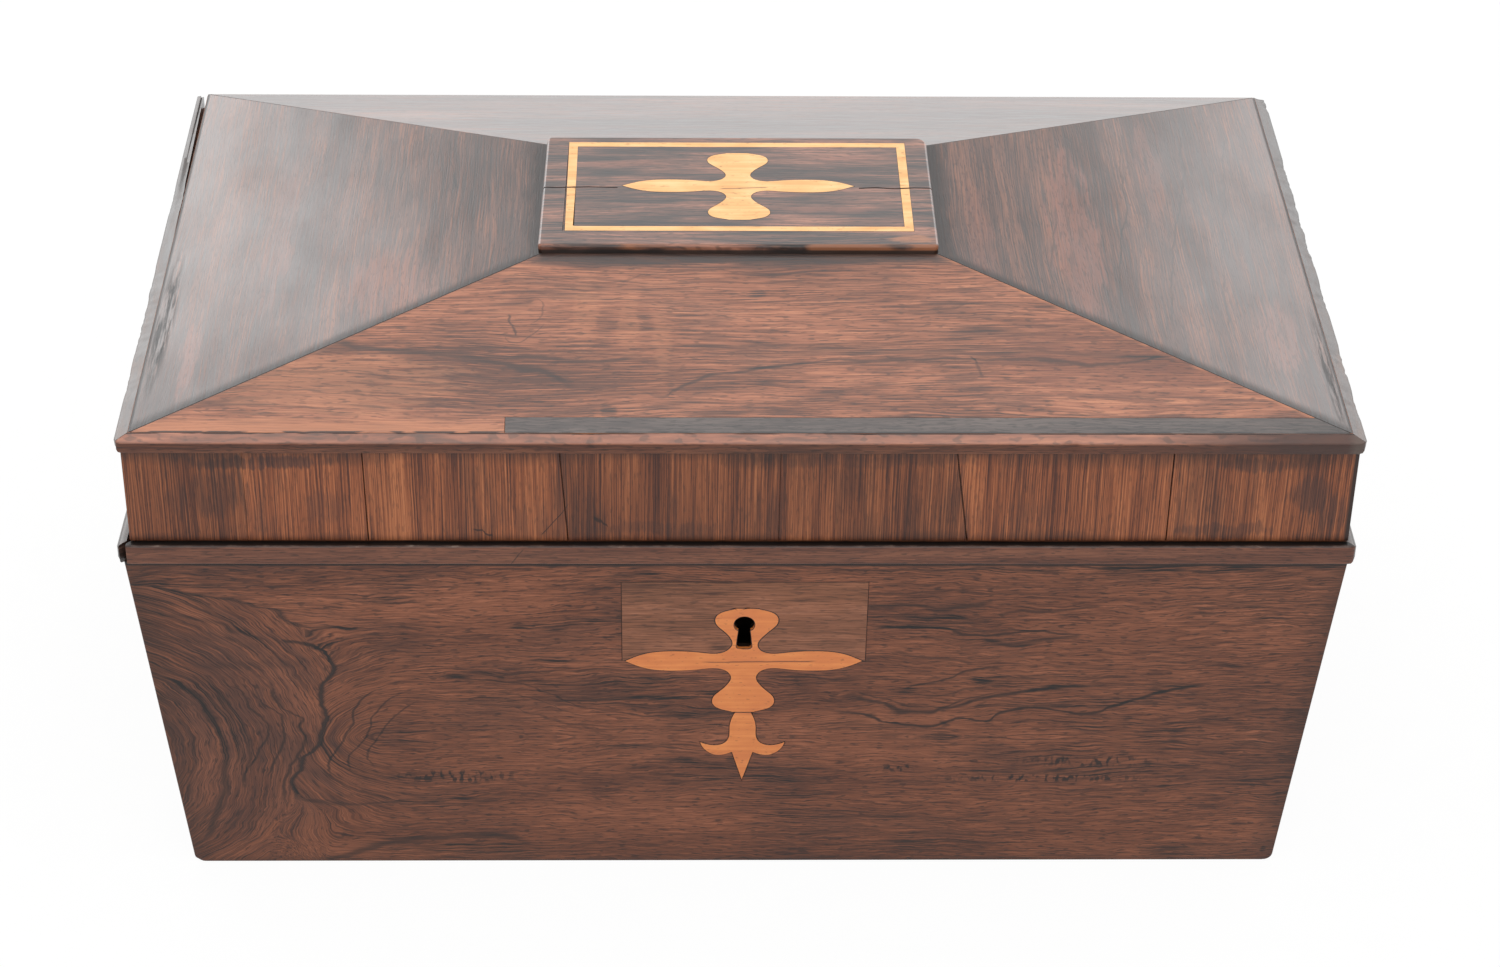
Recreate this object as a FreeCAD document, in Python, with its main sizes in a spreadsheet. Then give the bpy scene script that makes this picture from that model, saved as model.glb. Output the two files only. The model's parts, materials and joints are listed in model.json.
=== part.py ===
import FreeCAD, Part
import os
import re
import Sketcher

# Rosewood tea caddy of sarcophagus form. Millimetres, +Z up, the front faces -Y.
# The origin lies on the table, in the middle of the caddy's plan.

DRIVING_SIZES = {
    # lid, over its mouldings, and the base below it
    "lid_width": 305,
    "lid_depth": 177,
    "base_height": 110,
    "lid_gap": 0.3,
    "frieze_height": 26.3,
    "roof_rise": 16.9,
    "base_lean": 8.2,
    "base_step": 1.0,
    # boards, veneers and mouldings
    "board": 10,
    "veneer": 1.2,
    "floor_board": 8,
    "lid_lining": 1.5,
    "lid_moulding_projection": 1.5,
    "lid_moulding_width": 3.3,
    "lid_moulding_height": 4.4,
    "lid_moulding_nose": 3.2,
    "lid_moulding_undercut": 0.9,
    "rim_projection": 2.25,
    "rim_height": 5.8,
    "rim_undercut": 0.35,
    "nose_round": 0.7,
    # tablet on the lid and its inlay
    "tablet_width": 101.2,
    "tablet_depth": 57,
    "tablet_thickness": 2.5,
    "tablet_shift": 0.3,
    "tablet_corner": 3,
    "tablet_edge": 1.1,
    "inlay_depth": 0.8,
    "inlay_shift": 2.0,
    "string_frame_width": 89.5,
    "string_frame_depth": 46.7,
    "string_width": 2.5,
    # inlaid cross, used on the front and on the tablet, and the fleur under the front one
    "cross_length": 61,
    "cross_height": 35.4,
    "front_cross_drop": 38.7,
    "fleur_width": 22.2,
    "fleur_height": 24.3,
    "fleur_lap": 1,
    "patch_width": 62,
    "patch_drop": 12.4,
    # joints between the leaves of the front frieze, measured from the middle
    "frieze_joint_a": -121.8,
    "frieze_joint_b": -92.4,
    "frieze_joint_c": -43.5,
    "frieze_joint_d": 9.3,
    "frieze_joint_e": 53.6,
    "frieze_joint_f": 105.5,
    # repair strip at the foot of the front slope
    "roof_strip_start": -57.9,
    "roof_strip_width": 5,
    # keyhole and lock
    "keyhole_shift": 1.1,
    "keyhole_drop": 26.5,
    "keyhole_radius": 2.6,
    "keyhole_slot_width": 3.5,
    "keyhole_slot_drop": 8.1,
    "lock_plate_width": 54,
    "lock_plate_height": 40,
    "lock_plate_thickness": 1.2,
    "selvedge_depth": 8,
    "selvedge_thickness": 1.5,
    "lock_case_width": 44,
    "lock_case_height": 35,
    "lock_case_depth": 5,
    "lock_case_wall": 1,
    "key_pin_radius": 1,
    "lock_fit": 0.1,
    "bolt_clearance": 0.3,
    "bolt_travel": 4.5,
    "bolt_bar": 3.7,
    "bolt_finger": 2.5,
    "link_plate_width": 48,
    "link_plate_thickness": 1.5,
    "hook_reach": 12,
    "hook_width": 2.5,
    "hook_foot": 4.5,
    "hook_depth": 3,
    "hook_left": -7,
    "hook_right": 15,
    "hook_room": 0.9,
    # hinges
    "hinge_length": 45,
    "hinge_end_distance": 32,
    "hinge_leaf_margin": 0.6,
    "hinge_leaf_thickness": 1.3,
    "hinge_inset": 1.6,
    "knuckle_radius": 2.4,
    "knuckle_gap": 0.2,
    "hinge_pin_radius": 1.2,
    "hinge_pin_fit": 0.05,
    "hinge_wood_room": 0.25,
    "bevel_rise": 1.75,
    # brass screws
    "screw_head_radius": 2,
    "screw_head_height": 1,
    "screw_shank_radius": 1,
    "screw_length": 7,
    "screw_fit": 0.05,
    # inside of the base
    "partition": 6,
    "bowl_bay_width": 112,
    "partition_drop": 8,
    "housing_depth": 2,
    "tea_lid_thickness": 5,
    "tea_lid_clearance": 0.4,
    "tea_lid_bevel": 1.5,
    "ledge_height": 5,
    "ledge_width": 4,
    "tea_lead": 0.6,
    "knob_height": 11,
    "knob_radius": 5.5,
    "knob_neck_radius": 2.6,
    "knob_foot_radius": 4.5,
    "knob_spigot_radius": 2,
    "knob_fit": 0.05,
    "bowl_rim_radius": 45,
    "bowl_foot_radius": 29,
    "bowl_wall": 3.2,
    "bowl_floor": 7,
    "bowl_proud": 6,
    "bowl_clearance": 2,
    "bowl_rest_height": 10,
    "bowl_rest_radius": 40,
}

WORKED_OUT_SIZES = {
    # plan of the lid
    "half_lid": "lid_width / 2",
    "nose_front": "(rim_projection - lid_moulding_projection - lid_depth - knuckle_radius + hinge_inset) / 2",
    "back_face": "nose_front + lid_depth",
    "frieze_half": "half_lid - lid_moulding_projection",
    "frieze_front": "nose_front + lid_moulding_projection",
    "lid_core_half": "frieze_half - veneer",
    "lid_core_front": "frieze_front + veneer",
    "core_back": "back_face - veneer",
    "slab_half": "half_lid - lid_moulding_width",
    "slab_front": "nose_front + lid_moulding_width",
    # plan of the base at its top edge
    "lean": "base_lean / base_height",
    "base_half_top": "frieze_half + base_step",
    "base_front_top": "frieze_front - base_step",
    "core_half_top": "base_half_top - veneer",
    "core_front_top": "base_front_top + veneer",
    # levels
    "lid_bottom": "base_height + lid_gap",
    "frieze_top": "lid_bottom + frieze_height",
    "eave": "frieze_top + lid_moulding_height",
    "ridge": "eave + roof_rise",
    "tablet_top": "ridge + tablet_thickness",
    "rim_bottom": "base_height - rim_height",
    "partition_top": "base_height - partition_drop",
    "ledge_top": "partition_top - tea_lid_thickness",
    "ledge_bottom": "ledge_top - ledge_height",
    # tablet and hips
    "tablet_half": "tablet_width / 2",
    "tablet_middle": "(nose_front + back_face) / 2 + tablet_shift",
    "tablet_front": "tablet_middle - tablet_depth / 2",
    "tablet_back": "tablet_middle + tablet_depth / 2",
    "side_run": "veneer * (slab_half - tablet_half) / roof_rise",
    "front_run": "veneer * (tablet_front - slab_front) / roof_rise",
    "back_run": "veneer * (back_face - tablet_back) / roof_rise",
    # lock, measured from the inner face of the front board at its top edge
    "lock_face": "core_front_top + board",
    "lock_back": "lock_face - lock_plate_thickness",
    "lock_front": "lock_back - lock_case_depth",
    "selvedge_front": "lock_face - selvedge_depth",
    "keyhole_level": "base_height - keyhole_drop",
    "hook_level": "base_height - hook_reach",
    "hook_middle": "lock_back - (lock_case_depth - lock_case_wall) / 2",
    "front_cross_level": "base_height - front_cross_drop",
    # hinges
    "hinge_axis_y": "back_face - hinge_inset",
    "hinge_axis_z": "base_height + lid_gap / 2",
    "hinge_middle": "lid_core_half - hinge_end_distance - hinge_length / 2",
    "barrel_length": "hinge_length / 5",
    "hinge_leaf_edge": "hinge_axis_y - knuckle_radius - hinge_wood_room",
    "hinge_leaf_width": "hinge_leaf_edge - (core_back - board) - hinge_leaf_margin",
    # inside of the base
    "bay_half": "bowl_bay_width / 2",
    "tea_start": "bay_half + partition",
    "bay_middle": "(core_front_top + core_back) / 2",
    "bowl_bottom": "floor_board + bowl_rest_height",
    "bowl_top": "partition_top + bowl_proud",
}

# Points on one quarter of the cross, as shares of its half length and of its half height.
CROSS_QUARTER = (
    (1.0, 0.0), (0.905, 0.09), (0.787, 0.163), (0.6, 0.195), (0.354, 0.167), (0.207, 0.155),
    (0.138, 0.215), (0.11, 0.316), (0.138, 0.446), (0.2, 0.576), (0.256, 0.695), (0.266, 0.797),
    (0.216, 0.92), (0.108, 0.986), (0.0, 1.0),
)
# Right half of the fleur, as shares of its half width and of its height below its top edge.
FLEUR_STEM = (
    (0.19, 0.0), (0.26, 0.074), (0.315, 0.2), (0.324, 0.337), (0.396, 0.42), (0.53, 0.461), (0.748, 0.465),
    (1.0, 0.42),
)
FLEUR_BARB = ((1.0, 0.42), (0.928, 0.514), (0.8, 0.58), (0.62, 0.621), (0.45, 0.617), (0.25, 0.58))

TOOL_MARGIN = 20.0
SIDES = {"left": -1, "right": 1}

doc = FreeCAD.newDocument("tea_caddy")
sheet = doc.addObject("Spreadsheet::Sheet", "Sizes")
nodes = {}


def fill_sheet():
    """Write the driving sizes as numbers and the worked-out sizes as formulas, each with its alias."""
    rows = [(name, str(value)) for name, value in DRIVING_SIZES.items()]
    rows += [(name, "=" + formula) for name, formula in WORKED_OUT_SIZES.items()]
    for row, (name, text) in enumerate(rows, start=1):
        sheet.set(f"A{row}", name)
        sheet.set(f"B{row}", text)
        sheet.setAlias(f"B{row}", name)
    doc.recompute()


def formula(text):
    """Turn sizes written by their own names into an expression on the sheet."""
    return re.sub(r"[a-z][a-z_]+", lambda word: "Sizes." + word[0], str(text))


def value(text):
    """Give a formula's present value."""
    return float(sheet.evalExpression(formula(text)))


def bind(feature, **formulas):
    for name, text in formulas.items():
        feature.setExpression(name.replace("__", "."), formula(text))
    return feature


def node(label, feature):
    """Name a finished sub-part, which is then written to its own file."""
    feature.Label = label
    nodes[label] = feature
    return feature


def box(name, x, y, z):
    """Block between two x, two y and two z, each a pair of formulas."""
    block = doc.addObject("Part::Box", name)
    bind(block, Length=f"({x[1]}) - ({x[0]})", Width=f"({y[1]}) - ({y[0]})", Height=f"({z[1]}) - ({z[0]})")
    return bind(block, Placement__Base__x=x[0], Placement__Base__y=y[0], Placement__Base__z=z[0])


def tapered(name, low_x, low_y, high_x, high_y, z):
    """Block with level ends whose plan changes evenly from the lower end to the upper one."""
    block = doc.addObject("Part::Wedge", name)
    bind(block, Ymin=z[0], Ymax=z[1], Xmin=low_x[0], Xmax=low_x[1], X2min=high_x[0], X2max=high_x[1])
    bind(block, Zmin=f"-({low_y[1]})", Zmax=f"-({low_y[0]})")
    bind(block, Z2min=f"-({high_y[1]})", Z2max=f"-({high_y[0]})")
    block.Placement.Rotation = FreeCAD.Rotation(FreeCAD.Vector(1, 0, 0), 90)
    return block


def rod(name, axis, centre, start, length, radius):
    """Round bar along X, Y or Z; centre is the pair of its other two places."""
    turns = {"x": ((0, 1, 0), 90), "y": ((1, 0, 0), -90), "z": ((0, 0, 1), 0)}
    about, angle = turns[axis]
    bar = doc.addObject("Part::Cylinder", name)
    bar.Placement.Rotation = FreeCAD.Rotation(FreeCAD.Vector(*about), angle)
    places = dict(zip([other for other in "xyz" if other != axis], centre))
    places[axis] = start
    bind(bar, **{f"Placement__Base__{letter}": text for letter, text in places.items()})
    return bind(bar, Radius=radius, Height=length)


def join(name, *pieces):
    joined = doc.addObject("Part::MultiFuse", name)
    joined.Shapes = list(pieces)
    joined.Refine = True
    return joined


def cut(name, base, *tools):
    remainder = doc.addObject("Part::Cut", name)
    remainder.Base = base
    remainder.Tool = tools[0] if len(tools) == 1 else join(name + "_tools", *tools)
    return remainder


def common(name, base, tool):
    shared = doc.addObject("Part::Common", name)
    shared.Base = base
    shared.Tool = tool
    return shared


def group(name, pieces):
    """Several separate solids kept in one sub-part."""
    together = doc.addObject("Part::Compound", name)
    together.Links = list(pieces)
    return together


def outline(body, name, role, places, points):
    """Closed outline of straight lines on one of the body's own planes, at a place along its normal."""
    sketch = body.newObject("Sketcher::SketchObject", name)
    sketch.AttachmentSupport = [(next(f for f in body.Origin.OriginFeatures if f.Role == role), "")]
    sketch.MapMode = "FlatFace"
    sketch.setExpression("AttachmentOffset.Base.z", formula(places))
    corners = [FreeCAD.Vector(value(across), value(along), 0) for across, along in points]
    for i, corner in enumerate(corners):
        sketch.addGeometry(Part.LineSegment(corner, corners[(i + 1) % len(corners)]), False)
    for i in range(len(corners)):
        sketch.addConstraint(Sketcher.Constraint("Coincident", i, 2, (i + 1) % len(corners), 1))
    for i, (across, along) in enumerate(points):
        for kind, text, now in (("DistanceX", across, corners[i].x), ("DistanceY", along, corners[i].y)):
            number = sketch.addConstraint(Sketcher.Constraint(kind, -1, 1, i, 1, now))
            sketch.renameConstraint(number, f"{kind}{i}")
            sketch.setExpression(f".Constraints.{kind}{i}", formula(text))
    return sketch


def padded(name, axis, points, ends):
    """Body of one outline carried along X, Y or Z between two places on that axis."""
    body = doc.addObject("PartDesign::Body", name)
    role = {"x": "YZ_Plane", "y": "XZ_Plane", "z": "XY_Plane"}[axis]
    start = f"-({ends[1]})" if axis == "y" else ends[0]
    pad = body.newObject("PartDesign::Pad", name + "_pad")
    pad.Profile = outline(body, name + "_outline", role, start, points)
    bind(pad, Length=f"({ends[1]}) - ({ends[0]})")
    doc.recompute()
    return body


def pocketed(body, axis, points):
    """Cut an outline right through a body along X, Y or Z."""
    role = {"x": "YZ_Plane", "y": "XZ_Plane", "z": "XY_Plane"}[axis]
    before = body.Shape.Volume
    name = f"{body.Name}_cut_{len(body.Group)}"
    sketch = outline(body, name + "_outline", role, "0", points)
    pocket = body.newObject("PartDesign::Pocket", name)
    pocket.Profile = sketch
    pocket.SideType = "Symmetric"
    pocket.Type = "ThroughAll"
    doc.recompute()
    if body.Shape.Volume >= before:
        raise ValueError(f"{name} removes nothing")
    return body


def rounded(body, radius, is_edge):
    """Round the edges of a body that a test on the edge picks out."""
    base = body.Tip
    picked = [f"Edge{i}" for i, edge in enumerate(base.Shape.Edges, start=1) if is_edge(edge)]
    fillet = body.newObject("PartDesign::Fillet", f"{body.Name}_round_{len(body.Group)}")
    fillet.Base = (base, picked)
    bind(fillet, Radius=radius)
    doc.recompute()
    return body


def turned(name, points, centre_x, centre_y):
    """Body turned about an upright axis; points are radius and level."""
    body = doc.addObject("PartDesign::Body", name)
    sketch = outline(body, name + "_profile", "XZ_Plane", "0", points)
    turn = body.newObject("PartDesign::Revolution", name + "_turn")
    turn.Profile = sketch
    turn.ReferenceAxis = (sketch, ["V_Axis"])
    turn.Angle = 360
    return bind(body, Placement__Base__x=centre_x, Placement__Base__y=centre_y)


def near(edge, **places):
    """True where every end of an edge lies at the given places."""
    ends = [vertex.Point for vertex in edge.Vertexes]
    wanted = {axis: value(text) for axis, text in places.items()}
    return all(abs(getattr(end, axis) - place) < 1e-4 for end in ends for axis, place in wanted.items())


def core_half(z):
    return f"(core_half_top - lean * (base_height - ({z})))"


def core_front(z):
    return f"(core_front_top + lean * (base_height - ({z})))"


def core_rear(z):
    return f"(core_back - lean * (base_height - ({z})))"


def leaning(name, z, x_of, y_of):
    """Block between two levels whose plan at a level is given by two functions of that level."""
    return tapered(name, x_of(z[0]), y_of(z[0]), x_of(z[1]), y_of(z[1]), z)


def mirrored_pair(side, inner, outer):
    """The two x of a piece on the left or the right, given from the middle outwards."""
    return (inner, outer) if side == "right" else (f"-({outer})", f"-({inner})")


def smooth(points, final_tangent=None):
    curve = Part.BSplineCurve()
    if final_tangent is None:
        curve.interpolate(Points=points)
    else:
        curve.interpolate(Points=points, InitialTangent=points[1] - points[0], FinalTangent=final_tangent)
    return curve.toShape()


def cross_face():
    """Pointed arms and two flared lobes, drawn flat about the origin from one quarter."""
    half_length, half_height = value("cross_length / 2"), value("cross_height / 2")
    edges = []
    for flip_x, flip_y in ((1, 1), (-1, 1), (-1, -1), (1, -1)):
        quarter = [FreeCAD.Vector(flip_x * x * half_length, flip_y * y * half_height, 0)
                   for x, y in CROSS_QUARTER]
        edges.append(smooth(quarter, FreeCAD.Vector(-flip_x, 0, 0)))
    return Part.Face(Part.Wire(Part.__sortEdges__(edges)))


def fleur_face():
    """Stem with two curled barbs and a straight point below the origin; the stem's top laps under the cross."""
    half_width, height = value("fleur_width / 2"), value("fleur_height")
    point = FreeCAD.Vector(0, -height, 0)
    edges = []
    tops = []
    for flip in (1, -1):
        stem, barb = ([FreeCAD.Vector(flip * x * half_width, -y * height, 0) for x, y in half]
                      for half in (FLEUR_STEM, FLEUR_BARB))
        top = stem[0] + FreeCAD.Vector(0, value("fleur_lap"), 0)
        edges += [Part.makeLine(top, stem[0]), smooth(stem), smooth(barb), Part.makeLine(barb[-1], point)]
        tops.append(top)
    edges.append(Part.makeLine(*tops))
    return Part.Face(Part.Wire(Part.__sortEdges__(edges)))


def inlay_tool(name, face, depth, base, turn=0):
    """Prism of an inlay's outline, which cuts both the inlay and its bed out of the wood."""
    tool = doc.addObject("Part::Feature", name)
    tool.Shape = face.extrude(FreeCAD.Vector(0, 0, depth))
    tool.Placement = FreeCAD.Placement(base, FreeCAD.Rotation(FreeCAD.Vector(1, 0, 0), turn))
    return tool


def screw(name, x, y, z, direction, grow="0"):
    """Countersunk screw with its flat head at a point; grow widens it into the hole that it needs."""
    turns = {"+z": 0, "-z": 180, "-y": 90}
    head = doc.addObject("Part::Cone", name + "_head")
    bind(head, Radius1=f"screw_head_radius + {grow}", Radius2=f"screw_shank_radius + {grow}")
    bind(head, Height="screw_head_height")
    shank = doc.addObject("Part::Cylinder", name + "_shank")
    bind(shank, Radius=f"screw_shank_radius + {grow}", Height=f"screw_length + {grow}")
    for piece in (head, shank):
        piece.Placement.Rotation = FreeCAD.Rotation(FreeCAD.Vector(1, 0, 0), turns[direction])
        bind(piece, Placement__Base__x=x, Placement__Base__y=y, Placement__Base__z=z)
    return join(name, head, shank)


def screws_with_holes(name, places):
    """Screws at the listed places, and the wider tools that drill for them."""
    made = [screw(f"{name}_{i}", *place) for i, place in enumerate(places)]
    drills = [screw(f"{name}_drill_{i}", *place, grow="screw_fit") for i, place in enumerate(places)]
    return made, drills


fill_sheet()

# Lock: a plate with its selvedge, a case let into the front board, and the link plate's hooks above it.
lock_x = "keyhole_shift"
plate_x = (f"{lock_x} - lock_plate_width / 2", f"{lock_x} + lock_plate_width / 2")
case_x = (f"{lock_x} - lock_case_width / 2", f"{lock_x} + lock_case_width / 2")
case_top = "base_height - selvedge_thickness"
case_bottom = f"{case_top} - lock_case_height"
hook_slots = []
hooks = []
for hook, place in (("left", "hook_left"), ("right", "hook_right")):
    bar = (f"{lock_x} + {place} - hook_width / 2", f"{lock_x} + {place} + hook_width / 2")
    foot = (f"{bar[0]} - hook_foot", bar[0])
    deep = ("hook_middle - hook_depth / 2", "hook_middle + hook_depth / 2")
    stem = box(f"hook_{hook}_stem", bar, deep, ("hook_level", "lid_bottom"))
    toe = box(f"hook_{hook}_toe", foot, deep, ("hook_level", "hook_level + bolt_finger"))
    hooks.append(join(f"hook_{hook}", stem, toe))
    room = (f"{foot[0]} - hook_room", f"{bar[1]} + hook_room")
    slot_y = (f"{deep[0]} - hook_room", f"{deep[1]} + hook_room / 2")
    hook_slots.append(box(f"hook_slot_{hook}", room, slot_y, (case_top, "base_height")))

lock_screws, lock_drills = screws_with_holes("lock_screw", [
    (f"{lock_x} {sign} (lock_plate_width / 2 - 1.5 * screw_head_radius)", "lock_face",
     "base_height - lock_plate_height + 2 * screw_head_radius", "-y") for sign in "+-"
] + [
    (f"{lock_x} {sign} (lock_plate_width / 2 - 1.5 * screw_head_radius)", "(lock_face + selvedge_front) / 2",
     "base_height", "-z") for sign in "+-"
])
back_plate = box("lock_back_plate", plate_x, ("lock_back", "lock_face"),
                 ("base_height - lock_plate_height", "base_height"))
selvedge = box("lock_selvedge", plate_x, ("selvedge_front", "lock_face"), (case_top, "base_height"))
plate_blank = join("lock_plate_blank", back_plate, selvedge)
node("lock_plate", cut("lock_plate_cut", plate_blank, *hook_slots, *lock_drills))

keyhole = join(
    "keyhole",
    rod("keyhole_round", "y", (lock_x, "keyhole_level"), "nose_front", "lock_back - nose_front",
        "keyhole_radius"),
    box("keyhole_slot", (f"{lock_x} - keyhole_slot_width / 2", f"{lock_x} + keyhole_slot_width / 2"),
        ("nose_front", "lock_back"), ("keyhole_level - keyhole_slot_drop", "keyhole_level")))
case_block = box("lock_case_block", case_x, ("lock_front", "lock_back"), (case_bottom, case_top))
case_hollow = box("lock_case_hollow", (f"{case_x[0]} + lock_case_wall", f"{case_x[1]} - lock_case_wall"),
                  ("lock_front + lock_case_wall", "lock_back"), (f"{case_bottom} + lock_case_wall", case_top))
node("lock_case", cut("lock_case_cut", case_block, case_hollow, keyhole))
node("lock_key_pin", rod("key_pin", "y", (lock_x, "keyhole_level"), "lock_front + lock_case_wall",
                         "lock_back - lock_front - lock_case_wall", "key_pin_radius"))

# The bolt is one bar with a finger for each hook and two talons, between which the key turns.
bolt_foot = "hook_level - bolt_clearance"
finger_low = "hook_level + bolt_finger + bolt_clearance"
bolt_start = f"{lock_x} - lock_case_width / 2 + lock_case_wall + bolt_clearance"
bolt_end = f"{lock_x} + lock_case_width / 2 - lock_case_wall - bolt_clearance - bolt_travel"
finger_tips = {hook: f"{lock_x} + hook_{hook} - hook_width / 2 - hook_foot - bolt_clearance"
               for hook in SIDES}
stem_ends = {hook: f"{tip} - bolt_travel" for hook, tip in finger_tips.items()}
stem_starts = {"left": bolt_start, "right": f"{stem_ends['right']} - bolt_finger"}
talon_low = f"{bolt_foot} - bolt_bar - bolt_finger"
bolt_points = []
for hook in SIDES:
    bolt_points += [(stem_starts[hook], bolt_foot), (stem_starts[hook], f"{finger_low} + bolt_finger"),
                    (finger_tips[hook], f"{finger_low} + bolt_finger"), (finger_tips[hook], finger_low),
                    (stem_ends[hook], finger_low), (stem_ends[hook], bolt_foot)]
bolt_points = bolt_points[1:] + [(bolt_end, bolt_foot), (bolt_end, f"{bolt_foot} - bolt_bar")]
for place in ("2 * bolt_finger", "-bolt_finger"):
    bolt_points += [(f"{lock_x} + {place}", f"{bolt_foot} - bolt_bar"), (f"{lock_x} + {place}", talon_low),
                    (f"{lock_x} + {place} - bolt_finger", talon_low),
                    (f"{lock_x} + {place} - bolt_finger", f"{bolt_foot} - bolt_bar")]
bolt_points.append((bolt_start, f"{bolt_foot} - bolt_bar"))
node("lock_bolt", padded("bolt", "y", bolt_points,
                         ("lock_front + lock_case_wall + bolt_clearance", "lock_back - bolt_clearance")))

# Hinges: two butt hinges whose barrels lie in the groove between the bevelled back edges.
hinge_middles = {"left": "-hinge_middle", "right": "hinge_middle"}
leaves = {"base": [], "lid": []}
leaf_recesses = {"base": [], "lid": []}
hinge_pins = []
knuckle_rooms = []
leaf_levels = {"base": ("base_height - hinge_leaf_thickness", "base_height"),
               "lid": ("lid_bottom", "lid_bottom + hinge_leaf_thickness")}
leaf_y = ("hinge_leaf_edge - hinge_leaf_width", "hinge_leaf_edge")
hinge_screw_places = {"base": [], "lid": []}
axis_place = ("hinge_axis_y", "hinge_axis_z")
for side, middle in hinge_middles.items():
    start = f"{middle} - hinge_length / 2"
    for part, levels in leaf_levels.items():
        name = f"hinge_{part}_{side}"
        across = (start, f"{start} + hinge_length")
        pieces = [box(f"{name}_plate", across, leaf_y, levels)]
        for barrel in range(5):
            if (barrel % 2 == 0) != (part == "base"):
                continue
            low = f"{start} + {barrel} * barrel_length + knuckle_gap / 2"
            length = "barrel_length - knuckle_gap"
            pieces.append(rod(f"{name}_barrel_{barrel}", "x", axis_place, low, length, "knuckle_radius"))
            pieces.append(box(f"{name}_web_{barrel}", (low, f"{low} + {length}"),
                              ("hinge_leaf_edge", "hinge_axis_y"), levels))
        bore = rod(f"{name}_bore", "x", axis_place, start, "hinge_length",
                   "hinge_pin_radius + hinge_pin_fit")
        leaf = cut(f"{name}_bored", join(f"{name}_leaf", *pieces), bore)
        places = [(f"{middle} + {step} * hinge_length / 3", "hinge_leaf_edge - hinge_leaf_width / 2",
                   "base_height" if part == "base" else "lid_bottom", "-z" if part == "base" else "+z")
                  for step in (-1, 0, 1)]
        hinge_screw_places[part] += places
        leaves[part].append(leaf)
        leaf_recesses[part].append(box(f"{name}_recess", across, (leaf_y[0], "hinge_axis_y"), levels))
    hinge_pins.append(rod(f"hinge_pin_{side}", "x", axis_place, start, "hinge_length", "hinge_pin_radius"))
    knuckle_rooms.append(rod(f"hinge_room_{side}", "x", axis_place, start, "hinge_length",
                             "knuckle_radius + hinge_wood_room"))
hinge_screws = {}
hinge_drills = {}
for part, places in hinge_screw_places.items():
    hinge_screws[part], hinge_drills[part] = screws_with_holes(f"hinge_{part}_screw", places)
    drilled = [cut(f"hinge_{part}_drilled_{i}", leaf, *hinge_drills[part])
               for i, leaf in enumerate(leaves[part])]
    node(f"hinge_{part}_leaves", group(f"hinge_{part}_pair", drilled))
node("hinge_pins", group("hinge_pin_pair", hinge_pins))
bevel_far = f"back_face + {TOOL_MARGIN}"
bevel_reach = f"(bevel_rise / hinge_inset) * (hinge_inset + {TOOL_MARGIN})"
bevel_ends = (f"-half_lid - {TOOL_MARGIN}", f"half_lid + {TOOL_MARGIN}")
base_bevel = padded("base_bevel", "x", [
    ("hinge_axis_y", "base_height"), (bevel_far, f"base_height - {bevel_reach}"),
    (bevel_far, "base_height")], bevel_ends)
lid_bevel = padded("lid_bevel", "x", [
    ("hinge_axis_y", "lid_bottom"), (bevel_far, "lid_bottom"),
    (bevel_far, f"lid_bottom + {bevel_reach}")], bevel_ends)

# Inside of the base: partitions housed in the front and back boards, ledges, linings, bowl panel and rest.
partitions = {}
for side in SIDES:
    partitions[side] = leaning(
        f"partition_{side}_board", ("floor_board", "partition_top"),
        lambda z: mirrored_pair(side, "bay_half", "tea_start"),
        lambda z: (f"{core_front(z)} + board - housing_depth", f"{core_rear(z)} - board + housing_depth"))
    node(f"partition_{side}", partitions[side])


def well_y(z):
    return (f"{core_front(z)} + board", f"{core_rear(z)} - board")


def tea_x(side, inset="0"):
    """Plan of a tea compartment across the caddy, as a function of the level."""
    return lambda z: mirrored_pair(side, f"tea_start + {inset}", f"{core_half(z)} - board - {inset}")


ledges = []
ledge_levels = ("ledge_bottom", "ledge_top")
for side in SIDES:
    ledges.append(leaning(f"ledge_{side}_front", ledge_levels, tea_x(side),
                          lambda z: (well_y(z)[0], f"{well_y(z)[0]} + ledge_width")))
    ledges.append(leaning(f"ledge_{side}_back", ledge_levels, tea_x(side),
                          lambda z: (f"{well_y(z)[1]} - ledge_width", well_y(z)[1])))
    between = lambda z: (f"{well_y(z)[0]} + ledge_width", f"{well_y(z)[1]} - ledge_width")
    ledges.append(leaning(f"ledge_{side}_outer", ledge_levels, lambda z: mirrored_pair(
        side, f"{core_half(z)} - board - ledge_width", f"{core_half(z)} - board"), between))
    ledges.append(leaning(f"ledge_{side}_inner", ledge_levels, lambda z: mirrored_pair(
        side, "tea_start", "tea_start + ledge_width"), between))
    ledges.append(leaning(f"ledge_{side}_bowl", ledge_levels, lambda z: mirrored_pair(
        side, "bay_half - ledge_width", "bay_half"), well_y))
node("compartment_ledges", group("ledge_strips", ledges))

lead_levels = ("floor_board", "ledge_bottom")
for side in SIDES:
    outer = leaning(f"lead_{side}_outer", lead_levels, tea_x(side), well_y)
    inner = leaning(f"lead_{side}_inner", ("floor_board + tea_lead", "ledge_bottom"),
                    tea_x(side, "tea_lead"),
                    lambda z: (f"{well_y(z)[0]} + tea_lead", f"{well_y(z)[1]} - tea_lead"))
    node(f"tea_lining_{side}", cut(f"lead_{side}", outer, inner))

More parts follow.
